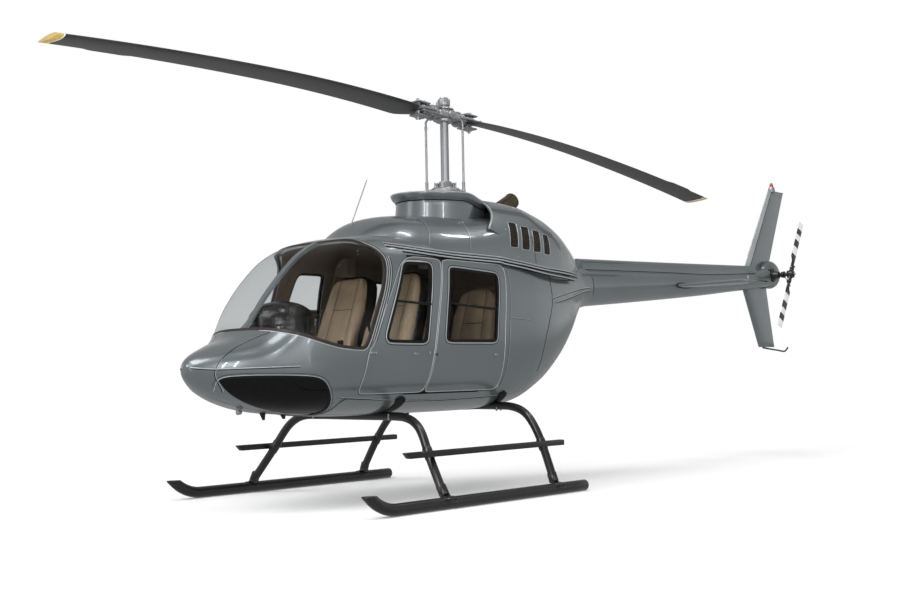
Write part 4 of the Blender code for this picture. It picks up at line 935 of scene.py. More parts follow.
def makeCowls():
    body = (bodySolid(-0.0006), "DIFFERENCE")
    oval = (1, cowls["oval"], 1)
    front = carved(cowlSolid(frontCowlRows, 0, -1.300, 0.14),
                   [(cowlSolid(frontCowlRows, 0.012, -1.20, 0.20), "DIFFERENCE"), body,
                    cylinderTool(0.475, 2.10, 2.60, 96, oval)])
    shadeSkin(front, "front", True)
    # its inner faces take the near-black of painted shade
    addPiece("frontCowlSkin", front, ("paint", "darkRecess"), "airframe", ["front_cowl"])
    cuts = [(cowlSolid(engineCowlRows, 0.014, -0.15, 1.64), "DIFFERENCE"), body]
    for i in range(louvres["count"]):
        line = softened(louvreLine(i), 2, louvres["corner"])
        cuts += [(prism(line, low, high), "DIFFERENCE") for low, high in ((-0.62, -0.30), (0.30, 0.62))]
    lean = Matrix.Rotation(radians(exhaust["lean"]), 3, "Y")
    cuts.append(cylinderTool(exhaust["hole"], -0.30, 0.40, 40, turn=lean, place=exhaust["place"]))
    ahead = cowls["intakeEdge"] + ((0.1395, 2.080), (0.1395, 1.5), (-0.3, 1.5), (-0.3, 2.60))
    cuts.append((prism(ahead, -0.9, 0.9), "DIFFERENCE"))
    engine = carved(cowlSolid(engineCowlRows, 0, -0.10, 1.72), cuts)
    shadeSkin(engine, "engine", True)
    # its inner faces take the near-black of painted shade
    addPiece("engineCowlSkin", engine, ("paint", "darkRecess"), "airframe", ["engine_cowl"])
    collar = spun(cowls["collar"], 120, oval)
    for vert in collar.vertices:    # the rim sinks towards the engine cowl
        vert.co = sunkRim(vert.co)
    collar = carved(collar, [(cowlSolid(engineCowlRows, 0.001, 0.20, 1.72), "DIFFERENCE"),
                             cutBlock((0.24, -0.9, 2.0), (0.9, 0.9, 2.7), "DIFFERENCE")])
    addPiece("intakeCollarRing", shaded(collar, 38), "paint", "airframe", ["intake_collar"])
    # painted shade: dark sheets close the intake, standing for the shade inside it
    shadeSheets = [boxMesh(low, high, 0.001) for low, high in cowls["shadeSheets"]]
    addPiece("intakeShadeSheet", joinMeshes(shadeSheets), "darkRecess", "airframe")
    print("cowls made")


def softMesh(bm, name, angle=35):
    bmesh.ops.recalc_face_normals(bm, faces=bm.faces)
    return shaded(meshFrom(bm, name), angle)


def bevelSharp(bm, width, segments=2, limit=40):
    edges = [e for e in bm.edges if len(e.link_faces) == 2 and e.calc_face_angle() > radians(limit)]
    if edges and width > 0:
        bmesh.ops.bevel(bm, geom=edges, offset=width, affect="EDGES", segments=segments, profile=0.5,
                        material=-1)


def rodMesh(start, end, radius, endRadius=None, sides=32, bevel=0.0):
    start, end = Vector(start), Vector(end)
    along = end - start
    bm = bmesh.new()
    bmesh.ops.create_cone(bm, cap_ends=True, segments=sides, radius1=radius,
                          radius2=radius if endRadius is None else endRadius, depth=along.length)
    bevelSharp(bm, bevel, 2, 50)
    turn = along.to_track_quat("Z", "Y").to_matrix()
    bmesh.ops.rotate(bm, verts=bm.verts, cent=(0, 0, 0), matrix=turn)
    bmesh.ops.translate(bm, verts=bm.verts, vec=(start + end) / 2)
    return softMesh(bm, "rod")


def roundedEdges(mesh, bevel, segments):
    bm = bmesh.new()
    bm.from_mesh(mesh)
    bevelSharp(bm, bevel, segments)
    return softMesh(bm, "rounded", 50)


def boxMesh(low, high, bevel=0.004, segments=2):
    return roundedEdges(block(low, high), bevel, segments)


def plateMesh(outline, lowY, highY, bevel=0.003, segments=2):
    return roundedEdges(prism(outline, lowY, highY), bevel, segments)


def ballMesh(place, radius, stretch=(1, 1, 1), steps=32):
    bm = bmesh.new()
    bmesh.ops.create_uvsphere(bm, u_segments=steps, v_segments=steps // 2, radius=radius)
    bmesh.ops.scale(bm, verts=bm.verts, vec=stretch)
    bmesh.ops.translate(bm, verts=bm.verts, vec=place)
    return softMesh(bm, "ball", 80)


def easyPath(corners, steps=8):    # a smooth line through the corners
    points = [Vector(c) for c in corners]
    path = []
    last = len(points) - 1
    for i in range(last):
        p0, p1, p2, p3 = points[max(i - 1, 0)], points[i], points[i + 1], points[min(i + 2, last)]
        for k in range(steps):
            t = k / steps
            path.append(0.5 * (2 * p1 + (p2 - p0) * t + (2 * p0 - 5 * p1 + 4 * p2 - p3) * t * t
                               + (3 * p1 - p0 - 3 * p2 + p3) * t ** 3))
    path.append(points[-1])
    return path


def sectionOf(chord, thick, count=22):    # a symmetric aerofoil about its quarter chord, along and up
    upper = []
    for i in range(count + 1):
        t = (1 - cos(pi * i / count)) / 2
        bulge = 0.2969 * t ** 0.5 - 0.126 * t - 0.3516 * t ** 2 + 0.2843 * t ** 3 - 0.1036 * t ** 4
        lift = 5 * thick * bulge
        upper.append((chord * (0.25 - t), lift * chord))
    return upper + [(a, -b) for a, b in reversed(upper[1:-1])]


def wingSolid(stations, roundEnds=0.0):    # nose, along, up, chord, thickness at each station
    rings = []
    for nose, along, up, chord, thick in stations:
        nose, along, up = Vector(nose), Vector(along).normalized(), Vector(up).normalized()
        rings.append([nose + along * (chord * 0.25 - a) + up * b for a, b in sectionOf(chord, thick)])
    mesh = loftGrid(stations, len(rings[0]), lambda i, j: rings[i][j], "wing")
    if roundEnds:
        bm = bmesh.new()
        bm.from_mesh(mesh)
        edges = [e for e in bm.edges if any(len(f.verts) > 8 for f in e.link_faces)]
        bmesh.ops.bevel(bm, geom=edges, offset=roundEnds, affect="EDGES", segments=3, profile=0.5,
                        material=-1)
        mesh = meshFrom(bm, "wing")
    return shaded(mesh, 50)


tail = {
    # band: the share of the chord in painted highlight along the upper fin's leading edge
    "finY": 0.045, "band": 0.19,
    # leading edge x, z, chord
    "upperFin": ((5.065, 2.020, 0.58), (5.105, 2.150, 0.55), (5.712, 3.080, 0.37)),
    "lowerFin": ((5.030, 2.020, 0.58), (5.045, 1.860, 0.55), (5.370, 1.193, 0.37)),
    # x, z, span, chord, thickness
    "stabilizer": (3.36, 1.838, 1.966, 0.40, 0.12),
    "collarAt": 0.150, "collarWide": 0.008,
    "axis": (5.486, -0.334, 2.033),
    # x, radius, finish of the rings at the boom's root; the pale ring is a painted highlight
    "rings": ((1.842, 0.004, "edgePaint"), (1.858, 0.0022, "rubber")),
    "dome": (5.58, 0, 2.05), "domeRadius": 0.165, "domeStretch": (1.2, 0.62, 1.0),
    "skid": ((5.47, 1.186), (5.62, 1.172), (5.80, 1.157), (5.96, 1.142), (6.02, 1.155), (6.07, 1.187)),
    "beacon": (5.80, 3.066),
    "beaconBase": ((0, 0), (0.042, 0), (0.040, 0.030), (0.034, 0.056), (0.028, 0.062), (0, 0.062)),
    "beaconLamp": ((0, 0.0625), (0.022, 0.0625), (0.023, 0.080), (0.019, 0.098), (0.010, 0.109), (0, 0.113)),
    "studs": ((5.47, 2.115), (5.53, 2.15), (5.62, 2.14), (5.66, 2.07), (5.64, 1.99), (5.40, 2.06)),
}


def finStations(rows, thick, steps=10):
    stations = []
    for one, two in zip(rows, rows[1:]):
        for k in range(steps):
            t = k / steps
            x, z, chord = (a + (b - a) * t for a, b in zip(one, two))
            stations.append(((x, tail["finY"], z), (1, 0, 0), (0, 1, 0), chord, thick))
    x, z, chord = rows[-1]
    stations.append(((x, tail["finY"], z), (1, 0, 0), (0, 1, 0), chord, thick))
    return stations


def makeBoom():
    stations = list(np.linspace(1.8303, 5.20, 90))
    rows = [smoothRow(boomRows, x) for x in stations]
    coverRow = [smoothRow(coverRows, x) for x in stations]
    sides, arch = 72, 40    # points round the boom, and over the cover's arch

    def boomPlace(i, j):
        middle, radius = rows[i]
        angle = 2 * pi * j / sides
        return (stations[i], radius * cos(angle), middle + radius * sin(angle))

    def coverPlace(i, j):
        low, high, half = coverRow[i]
        if j <= arch:
            angle = pi * j / arch
            return (stations[i], half * cos(angle), low + (high - low) * sin(angle) ** 0.8)
        t = (j - arch) / 6
        return (stations[i], -half * (1 - 2 * t), low - 0.05)

    boom = shaded(loftGrid(stations, sides, boomPlace, "boom"), 50)
    addPiece("tailBoomSkin", boom, "paint", "airframe", ["tail_boom"])
    cover = shaded(loftGrid(stations, arch + 6, coverPlace, "cover"), 50)
    addPiece("shaftCoverSkin", cover, "paint", "airframe", ["drive_shaft_cover"])
    lines = {"paint": [], "rubber": [], "edgePaint": []}
    for side in (-1, 1):
        foot, gap = [], []
        for x in np.linspace(1.86, 5.16, 120):
            low, high, half = smoothRow(coverRows, x)
            middle, radius = smoothRow(boomRows, x)
            z = max(low - 0.012, middle + (max(radius ** 2 - (half + 0.006) ** 2, 0)) ** 0.5 + 0.002)
            foot.append((x, side * (half + 0.004), z))
            gap.append((x, side * (half + 0.0015), z + 0.011))
        lines["paint"].append(roundBar(foot, 0.0055))
        lines["rubber"].append(roundBar(gap, 0.0028))
    # the pale ring is a painted highlight
    for x, thick, finish in tail["rings"]:
        middle, radius = smoothRow(boomRows, x)
        ring = [(x, (radius + 0.001) * cos(a), middle + (radius + 0.001) * sin(a))
                for a in np.linspace(0, 2 * pi, 73)[:-1]]
        lines[finish].append(roundBar(ring, thick, True))
    for finish, bars in lines.items():
        addPiece(f"boomLines_{finish}", joinMeshes(bars), finish, "airframe")


def makeFins():
    fins = joinMeshes([wingSolid(finStations(tail["upperFin"], 0.095), 0.006),
                       wingSolid(finStations(tail["lowerFin"], 0.090), 0.006)])
    rim, seams = {}, []
    xs, zs, chords = np.array(sorted(tail["upperFin"], key=lambda row: row[1])).T
    for face in fins.polygons:    # painted highlight: a band of paler paint along the upper leading edge, where the light would catch it
        lead, chord = (np.interp(face.center.z, zs, values) for values in (xs, chords))
        face.material_index = int(face.center.z > 2.1 and face.center.x - lead < tail["band"] * chord)
        for k in face.vertices:
            rim.setdefault(k, set()).add(face.material_index)
    # dark lines along the band's edges: painted shade beside the painted highlight
    for side in (-1, 1):
        seam = sorted((fins.vertices[k].co for k, seen in rim.items() if len(seen) == 2 and
                       (fins.vertices[k].co.y - tail["finY"]) * side > 0.004), key=lambda co: co.z)
        seams.append(roundBar([tuple(co) for co in seam[1:]], 0.0030))
    addPiece("finSkin", fins, ("paint", "edgePaint"), "airframe", ["tail_fin"])
    addPiece("finShadeLines", joinMeshes(seams), "rubber", "airframe")
    dome = ballMesh(tail["dome"], tail["domeRadius"], tail["domeStretch"], 48)
    spar = rodMesh((5.12, 0, 1.962), (5.56, 0, 2.03), 0.098, 0.118, 48)
    addPiece("gearboxDome", joinMeshes([dome, spar]), "paint", "airframe", ["tail_fin"])


def flatWing(x, z, chord, thick, reaches, roundEnds):
    return wingSolid([((x, reach, z), (1, 0, 0), (0, 0, 1), chord, thick) for reach in reaches], roundEnds)


def makeTail():
    makeBoom()
    makeFins()
    x, z, span, chord, thick = tail["stabilizer"]
    plane = flatWing(x, z, chord, thick, span * np.linspace(-0.5, 0.5, 30), 0.006)
    addPiece("stabilizerSkin", plane, "paint", "airframe", ["stabilizer"])
    collars, lamps = [], []
    for side in (-1, 1):
        root, tip = side * tail["collarAt"], side * (span / 2 - 0.03)
        reaches = (root, root + side * tail["collarWide"])
        collars.append(flatWing(x - 0.008, z, chord + 0.016, 0.15, reaches, 0.003))
        lamps.append(rodMesh((x + 0.06, tip, z + 0.02), (x + 0.06, tip, z + 0.050), 0.014, 0.009, 20, 0.003))
    addPiece("stabilizerCollars", joinMeshes(collars), "rubber", "airframe")
    addPiece("positionLamps", joinMeshes(lamps), "steel", "airframe")
    makeTailDetails()
    print("tail made")


def makeTailDetails():
    y = tail["finY"]
    bend = easyPath([(x, y, z) for x, z in tail["skid"]], 8)
    addPiece("tailSkidBar", roundBar(bend, 0.010), "blackGloss", "airframe", ["tail_skid"])
    top = (tail["beacon"][0], y, tail["beacon"][1])
    addPiece("beaconBase", spun(tail["beaconBase"], 32, place=top), "alloy", "airframe")
    addPiece("beaconLamp", spun(tail["beaconLamp"], 32, place=top), "lens", "airframe", ["beacon"])
    x, z = tail["axis"][0], tail["axis"][2]
    case = [rodMesh((x, start, z), (x, end, z), *sizes) for start, end, *sizes in (
        (-0.10, -0.19, 0.052, 0.040, 40, 0.004), (-0.04, -0.108, 0.087, 0.078, 40, 0.005),
        (-0.108, -0.120, 0.064, None, 40, 0.003))]
    for k in range(8):
        angle = 2 * pi * k / 8
        spot = Vector((x + 0.070 * cos(angle), -0.108, z + 0.070 * sin(angle)))
        case.append(rodMesh(spot, spot - Vector((0, 0.009, 0)), 0.006, None, 6, 0.001))
    addPiece("tailGearCase", joinMeshes(case), "blackGloss", "airframe", ["tail_gearbox"])
    studs = []
    dome, radius, (long, wide, high) = tail["dome"], tail["domeRadius"], tail["domeStretch"]
    for px, pz in tail["studs"]:    # on the dome's surface, both sides
        inside = 1 - ((px - dome[0]) / (radius * long)) ** 2 - ((pz - dome[2]) / (radius * high)) ** 2
        reach = radius * wide * max(inside, 0.02) ** 0.5
        studs.append(rodMesh((px, -reach + 0.004, pz), (px, -reach - 0.004, pz), 0.006, None, 12, 0.001))
        studs.append(rodMesh((px, reach - 0.004, pz), (px, reach + 0.004, pz), 0.006, None, 12, 0.001))
    studs.append(rodMesh((5.99, y - 0.012, 3.02), (5.99, y + 0.012, 3.02), 0.013, None, 20, 0.002))
    addPiece("tailStuds", joinMeshes(studs), "steel", "airframe")


tailRotor = {"radius": 0.683, "chord": 0.105, "rootChord": 0.055, "thick": 0.12, "rootThick": 0.5,
             "flareFrom": 0.17, "flareOver": 0.035, "angle": 61.6, "root": (0.1103, 0.18, 0.205),
             "bands": (0.37, 0.52, 0.65, 0.76, 0.87)}


def makeTailRotor():
    facts = tailRotor
    centre = Vector(tail["axis"])
    turn = radians(facts["angle"])
    along = Vector((cos(turn), 0, sin(turn)))
    across = Vector((0, 1, 0)).cross(along)
    radius = facts["radius"]
    borders = [*facts["root"], *[b * radius for b in facts["bands"]], radius]
    for name, way in (("upper", 1), ("lower", -1)):
        stations = []
        for one, two in zip(borders, borders[1:]):
            stations += list(np.linspace(one, two, 5)[:-1])
        stations.append(radius)
        rings = []
        for reach in stations:
            wide = min(max((reach - facts["flareFrom"]) / facts["flareOver"], 0), 1)
            chord = facts["rootChord"] + (facts["chord"] - facts["rootChord"]) * wide
            thick = facts["rootThick"] + (facts["thick"] - facts["rootThick"]) * wide
            rings.append([centre + along * way * reach + across * way * a + Vector((0, b, 0))
                          for a, b in sectionOf(chord, thick)])
        mesh = shaded(loftGrid(stations, len(rings[0]), lambda i, j: rings[i][j], "blade"), 50)
        reach = [abs((Vector(f.center) - centre).dot(along)) / radius for f in mesh.polygons]
        bands = [int(np.searchsorted(facts["bands"], r)) % 2 for r in reach]
        mesh.polygons.foreach_set("material_index", bands)
        addPiece(f"tailBlade_{name}", mesh, ("blackGloss", "whitePaint"), "tail_rotor",
                 [f"tail_blade_{name}"])
    side = Vector((0, 1, 0))
    parts = [rodMesh(centre + side * 0.20, centre - side * 0.050, 0.018, None, 28, 0.003),
             rodMesh(centre - along * 0.112, centre + along * 0.112, 0.026, None, 28, 0.004),
             rodMesh(centre + side * 0.035, centre - side * 0.035, 0.045, None, 32, 0.006),
             rodMesh(centre + side * 0.075, centre + side * 0.115, 0.040, 0.034, 32, 0.004)]
    addPiece("tailHub", joinMeshes(parts), "blackGloss", "tail_rotor", ["tail_rotor_hub"])
    bits = [rodMesh(centre - side * 0.050, centre - side * 0.062, 0.015, 0.011, 6, 0.002)]
    for way in (-1, 1):
        grip = centre + along * way * 0.085
        bits.append(rodMesh(grip - across * 0.036, grip + across * 0.036, 0.0085, None, 16, 0.002))
        bits.append(rodMesh(grip + side * 0.030, grip - side * 0.032, 0.0065, None, 12, 0.001))
        arm = centre + along * way * 0.13 + across * 0.046
        start = centre + side * 0.095 + across * 0.036
        bits.append(rodMesh(start, arm, 0.0042, None, 12))
        bits.append(ballMesh(arm, 0.009, (1, 1, 1), 14))
        bits.append(rodMesh(arm, centre + along * way * 0.13, 0.006, None, 12))
    addPiece("tailHubLinks", joinMeshes(bits), "steel", "tail_rotor")
    print("tail rotor made")


gear = {"skid": 0.044, "track": 1.143, "rear": 0.370, "toe": -1.760, "bend": 0.360, "tube": 0.033,
        "foot": 0.128, "stepY": 0.945, "stepZ": 0.392, "front": (-1.245, -1.120), "back": (0.016, 0.100)}
# across and up, from the middle to the skid
frontShape = ((0, 0.650), (0.45, 0.650), (0.60, 0.640), (0.71, 0.600), (0.80, 0.520), (0.92, 0.345),
              (1.085, 0.128))
rearShape = ((0, 0.690), (0.47, 0.690), (0.62, 0.682), (0.74, 0.645), (0.84, 0.565), (0.955, 0.405),
             (1.100, 0.128))


def tubeRoute(feet, shape):
    foot, top = feet
    high = shape[0][1]
    return [(foot + (top - foot) * (z - gear["foot"]) / (high - gear["foot"]), -y, z) for y, z in shape]


def atHeight(points, z):
    for one, two in zip(points, points[1:]):
        if two[2] <= z <= one[2]:
            return Vector(one).lerp(Vector(two), (one[2] - z) / (one[2] - two[2]))
    return Vector(points[-1])


def cutLevel(bm, height, way):    # takes off what lies above, or below where way is -1
    whole = bm.verts[:] + bm.edges[:] + bm.faces[:]
    bmesh.ops.bisect_plane(bm, geom=whole, plane_co=(0, 0, height), plane_no=(0, 0, way), clear_outer=True)
    bmesh.ops.holes_fill(bm, edges=[e for e in bm.edges if e.is_boundary], sides=0)


def skidMesh():
    radius, y = gear["skid"], -gear["track"]
    path = [(x, y, radius) for x in np.linspace(gear["rear"], gear["toe"], 14)]
    for k in range(1, 25):
        angle = radians(min(2.0 * k, 43))
        far = max(0, 2.0 * k - 43) * 0.010
        path.append((gear["toe"] - gear["bend"] * sin(angle) - far * cos(angle), y,
                     radius + gear["bend"] * (1 - cos(angle)) + far * sin(angle)))
    bm = bmesh.new()
    bm.from_mesh(roundBar(path, radius, False, 12))
    bmesh.ops.remove_doubles(bm, verts=bm.verts, dist=1e-5)
    cutLevel(bm, 0.156, 1)
    bevelSharp(bm, 0.004, 2, 45)
    return softMesh(bm, "skid", 40)


def saddle(foot):    # where a cross tube meets the port skid
    y, middle, top = -gear["track"], gear["skid"], 2 * gear["skid"]
    bits = [rodMesh((foot.x, foot.y + 0.016, foot.z + 0.035), (foot.x, y + 0.032, top + 0.006), 0.0380, None,
                    32, 0.004),
            rodMesh((foot.x, y + 0.030, top + 0.016), (foot.x, y + 0.036, top - 0.002), 0.044, None,
                    32, 0.004)]
    bm = bmesh.new()    # half a sleeve over the skid tube
    bm.from_mesh(rodMesh((foot.x - 0.052, y, middle), (foot.x + 0.052, y, middle), 0.0485, None, 40, 0.003))
    cutLevel(bm, middle + 0.004, -1)
    bits.append(softMesh(bm, "sleeve", 40))
    for offset in (-0.036, 0.036):
        for side in (-1, 1):
            spot = Vector((foot.x + offset, y + side * 0.040, middle + 0.024))
            bits.append(rodMesh(spot, spot + Vector((0, side * 0.014, 0.008)), 0.0065, None, 6, 0.001))
    return joinMeshes(bits)


def stepMesh():
    level = gear["stepZ"]
    outline = ((-1.520, level + 0.018), (-1.478, level - 0.026), (0.300, level - 0.026),
               (0.300, level + 0.018))
    low, high = -gear["stepY"] - 0.058, -gear["stepY"] - 0.005
    bits = [plateMesh(outline, low, high, 0.007, 3)]
    for feet, shape in ((gear["front"], frontShape), (gear["back"], rearShape)):
        half = tubeRoute(feet, shape)
        spot, upper, lower = (atHeight(half, level + lift) for lift in (0, 0.030, -0.045))
        bits.append(rodMesh(upper, lower, 0.0375, None, 36, 0.004))
        for edge in (spot.x - 0.040, spot.x + 0.026):
            brace = ((edge, level + 0.010), (edge + 0.014, level + 0.010), (edge + 0.014, level - 0.014),
                     (edge, level - 0.014))
            bits.append(plateMesh(brace, low + 0.020, spot.y, 0.002))
        bits.append(rodMesh((lower.x, lower.y - 0.010, lower.z + 0.006),
                            (lower.x, high - 0.004, level - 0.012), 0.013, None, 20, 0.002))
        for turn in (-1, 1):
            bolt = Vector((spot.x + turn * 0.030, spot.y + 0.034, level - 0.012))
            bits.append(rodMesh(bolt, bolt + Vector((0, 0.014, 0)), 0.006, None, 6, 0.001))
    for y in np.linspace(low + 0.010, high - 0.010, 6):    # fine ribs along the top of the tread
        bits.append(rodMesh((-1.50, y, level + 0.0178), (0.29, y, level + 0.0178), 0.0012, None, 8))
    return joinMeshes(bits)


def makeGear():
    y, rear, height = -gear["track"], gear["rear"], gear["skid"]
    cap = rodMesh((rear - 0.002, y, height), (rear + 0.004, y, height), 0.034, None, 32, 0.002)
    skid = joinMeshes([skidMesh(), cap])
    for side, bar in (("port", skid), ("starboard", mirroredMesh(skid))):
        addPiece(f"skidTube_{side}", bar, "blackGloss", "airframe", [f"skid_tube_{side}"])
    for name, feet, shape in (("front", gear["front"], frontShape), ("rear", gear["back"], rearShape)):
        half = tubeRoute(feet, shape)
        whole = [(x, -y, z) for x, y, z in reversed(half[1:])] + half
        tube = roundBar(easyPath(whole, 8), gear["tube"], False, 10)
        port = saddle(Vector(half[-1]))
        addPiece(f"{name}CrossTube", joinMeshes([tube, port, mirroredMesh(port)]), "blackGloss", "airframe",
                 [f"{name}_cross_tube"])
    step = stepMesh()
    for side, bar in (("port", step), ("starboard", mirroredMesh(step))):
        addPiece(f"stepBar_{side}", bar, "blackGloss", "airframe", [f"step_{side}"])
    print("landing gear made")


rotor = {"hub": 3.231, "radius": 3.60, "azimuth": 176.75, "slope": 0.0746, "droop": 0.22, "dip": 0.045,
         "twist": 10.0, "drop": 0.036, "root": 0.21, "link": 0.120,
         "chord": (0.15, 0.29), "thick": (0.34, 0.12), "widen": 0.22,    # at the root, and further out
         "tab": (2.92, 3.22), "tabChord": 0.020, "tip": 0.055}


def bladeSpot(reach, fore):
    lift = rotor["slope"] * reach * (1 if fore else -1) - rotor["droop"] * (reach / rotor["radius"]) ** 2
    lift -= rotor["dip"] * max(0, 1 - reach / 1.8) ** 2
    angle = radians(rotor["azimuth"]) + (0 if fore else pi)
    return Vector((cos(angle) * reach, sin(angle) * reach, rotor["hub"] + lift))


def rotorFrame():
    angle = radians(rotor["azimuth"])
    along = Vector((cos(angle), sin(angle), rotor["slope"])).normalized()
    edge = Vector((-sin(angle), cos(angle), 0))
    place = Matrix((along, edge, along.cross(edge))).transposed().to_4x4()
    place.translation = Vector((0, 0, rotor["hub"] - rotor["drop"]))
    return place, edge


def bladeRing(reach, fore, edge):
    grow = min(max((reach - rotor["root"]) / rotor["widen"], 0), 1)
    grow = grow * grow * (3 - 2 * grow)
    chord, thick = [low + (high - low) * grow for low, high in (rotor["chord"], rotor["thick"])]
    middle = bladeSpot(reach, fore)
    leading = edge if fore else -edge
    pitch = radians(rotor["twist"]) * (1 - reach / rotor["radius"])
    tab = rotor["tabChord"] if rotor["tab"][0] < reach < rotor["tab"][1] else 0
    ring = []
    for a, b in sectionOf(chord, thick):
        a -= tab if a < -chord * 0.745 else 0
        ring.append(middle + leading * (a * cos(pitch) - b * sin(pitch))
                    + Vector((0, 0, a * sin(pitch) + b * cos(pitch))))
    return ring


def makeBlades():
    edge = rotorFrame()[1]
    radius = rotor["radius"]
    for fore, side in ((True, "fore"), (False, "aft")):
        tip = radius - rotor["tip"] * (1 if fore else 0.75)
        reaches = [*np.linspace(rotor["root"], 0.62, 10), *np.linspace(0.66, tip - 0.02, 46),
                   tip - 0.010, tip, radius]
        rings = [bladeRing(reach, fore, edge) for reach in reaches]
        mesh = shaded(loftGrid(reaches, len(rings[0]), lambda i, j: rings[i][j], "blade"), 50)
        index = []
        for face in mesh.polygons:    # skin, a thin white line, the yellow tip
            reach = Vector(face.center[:2]).length
            index.append(0 if reach < tip - 0.011 else 2 if reach < tip else 1)
        mesh.polygons.foreach_set("material_index", index)
        addPiece(f"mainBlade_{side}", mesh, ("bladeSkin", "yellowPaint", "whitePaint"), "main_rotor",
                 [f"main_blade_{side}"])


grip = {
    "from": 0.12, "squeeze": 0.52,
    # start, end, radius, end radius, sides, bevel
    "hubRods": (((0, -0.118, 0.0), (0, 0.118, 0.0), 0.036, None, 36, 0.004),
                ((0, -0.128, 0.0), (0, 0.128, 0.0), 0.017, None, 6, 0.003),
                ((0, 0, -0.058), (0, 0, 0.052), 0.075, None, 48, 0.006),
                ((0, 0, 0.052), (0, 0, 0.066), 0.088, 0.080, 48, 0.003)),
    "sleeves": (((0.16, 0, 0), (0.415, 0, 0), 0.054, 0.050, 40, 0.004),
                ((0.165, 0, 0), (0.190, 0, 0), 0.070, None, 40, 0.004),
                ((0.265, 0, 0), (0.285, 0, 0), 0.062, None, 40, 0.003),
                ((0.388, 0, 0), (0.420, 0, 0), 0.063, 0.058, 40, 0.004)),
    "pins": (((0.485, 0, -0.092), (0.485, 0, 0.092), 0.019, None, 6, 0.003),
             ((0.485, 0, -0.078), (0.485, 0, 0.078), 0.028, None, 32, 0.003),
             ((0.385, 0.026, -0.080), (0.385, 0.026, 0.080), 0.009, None, 16, 0.002),
             ((0.385, -0.026, -0.080), (0.385, -0.026, 0.080), 0.009, None, 16, 0.002)),
    "bolts": ((0.095, 0.060), (0.095, -0.060), (0.205, 0.040), (0.205, -0.040), (0.245, 0.045),
              (0.245, -0.045)),
}


def gripMesh():    # towards +X
    bits = [rodMesh(*row) for row in grip["sleeves"]]
    for level in (-1, 1):    # cheek plates that hold the blade's root
        low, high = sorted((level * 0.050, level * 0.064))
        bits.append(boxMesh((0.300, -0.062, low), (0.560, 0.062, high), 0.005, 2))
        rise = level * 0.006
        bits.append(boxMesh((0.340, -0.040, low + rise), (0.520, 0.040, high + rise), 0.004, 2))
    bits += [rodMesh(*row) for row in grip["pins"]]
    for side in (-1, 1):    # brace beside the grip
        bits.append(rodMesh((0.205, side * 0.088, 0.004), (0.545, side * 0.098, -0.002), 0.0085, None,
                            20, 0.002))
        bits.append(rodMesh((0.310, side * 0.092, 0.003), (0.400, side * 0.095, 0.001), 0.0125, None,
                            6, 0.002))
        for start, end, far, low, high in ((0.190, 0.222, 0.100, -0.010, 0.014),
                                           (0.528, 0.562, 0.112, -0.014, 0.010)):
            near, far = sorted((side * 0.05, side * far))
            bits.append(boxMesh((start, near, low), (end, far, high), 0.004))
    link = rotor["link"]
    bits.append(boxMesh((link - 0.020, -0.128, -0.018), (link + 0.020, -0.05, 0.012), 0.005))
    bits.append(rodMesh((link - 0.028, -0.108, -0.004), (link + 0.028, -0.108, -0.004), 0.009, None,
                        20, 0.002))
    bits += [rodMesh((x, y, -0.034), (x, y, 0.034), 0.0085, None, 6, 0.0015) for x, y in grip["bolts"]]
    bits.append(boxMesh((0.03, 0.030, 0.050), (0.150, 0.052, 0.068), 0.004))
    bits.append(rodMesh((0.140, 0.041, 0.045), (0.140, 0.041, 0.092), 0.0075, None, 16, 0.002))
    whole = joinMeshes(bits)
    for vert in whole.vertices:    # the grips are short
        vert.co.x = min(vert.co.x, grip["from"] + (vert.co.x - grip["from"]) * grip["squeeze"])
    return whole


def makeHead():
    place = rotorFrame()[0]
    steel = [boxMesh((-0.30, -0.075, -0.024), (0.30, 0.075, 0.024), 0.008, 3),
             boxMesh((-0.13, -0.098, -0.034), (0.13, 0.098, 0.020), 0.012, 3)]
    steel += [rodMesh(*row) for row in grip["hubRods"]]
    for way in (-1, 1):
        steel.append(gripMesh())
        steel[-1].transform(Matrix.Rotation(0 if way > 0 else pi, 4, "Z"))
    head = joinMeshes(steel)
    head.transform(place)
    links = []
    for way in (-1, 1):
        top = place @ Vector((way * rotor["link"], -way * 0.105, -0.006))
        near = place @ Vector((way * rotor["link"] * 0.62, -way * 0.090, -0.004))
        x, y = top.x, top.y
        path = easyPath(((x, y, 2.525), (x, y, 2.70), (x, y, 3.02), (x, y, 3.115),
                         (x * 0.97, y * 0.97, 3.150), tuple(near)), 10)
        links.append(roundBar(path, 0.0098, False, 6))
        for low, high, radius, sides in ((2.530, 2.600, 0.0135, 24), (2.600, 2.618, 0.0155, 6),
                                         (3.075, 3.100, 0.0140, 6)):
            links.append(rodMesh((x, y, low), (x, y, high), radius, None, sides, 0.002))
        links.append(rodMesh((x * 0.5, y * 0.5, 2.540), (x * 1.05, y * 1.05, 2.540), 0.012, 0.015, 24, 0.003))
        links.append(ballMesh((x, y, 2.540), 0.0175, (1, 1, 1), 20))
    addPiece("rotorHead", joinMeshes([head] + links), "steel", "main_rotor", ["rotor_head"])


def boltRing(count, radius, z, size, height, sides=6, turn=0.0):
    bolts = []
    for k in range(count):
        angle = 2 * pi * (k + turn) / count
        spot = Vector((radius * cos(angle), radius * sin(angle), z))
        bolts.append(rodMesh(spot, spot + Vector((0, 0, height)), size, None, sides, 0.001))
    return bolts


swashplate = ((0.02, 2.515), (0.128, 2.515), (0.133, 2.520), (0.135, 2.536), (0.131, 2.546), (0.122, 2.556),
              (0.118, 2.560), (0.066, 2.560), (0.062, 2.566), (0.056, 2.580), (0.055, 2.616), (0.052, 2.620),
              (0.02, 2.620))


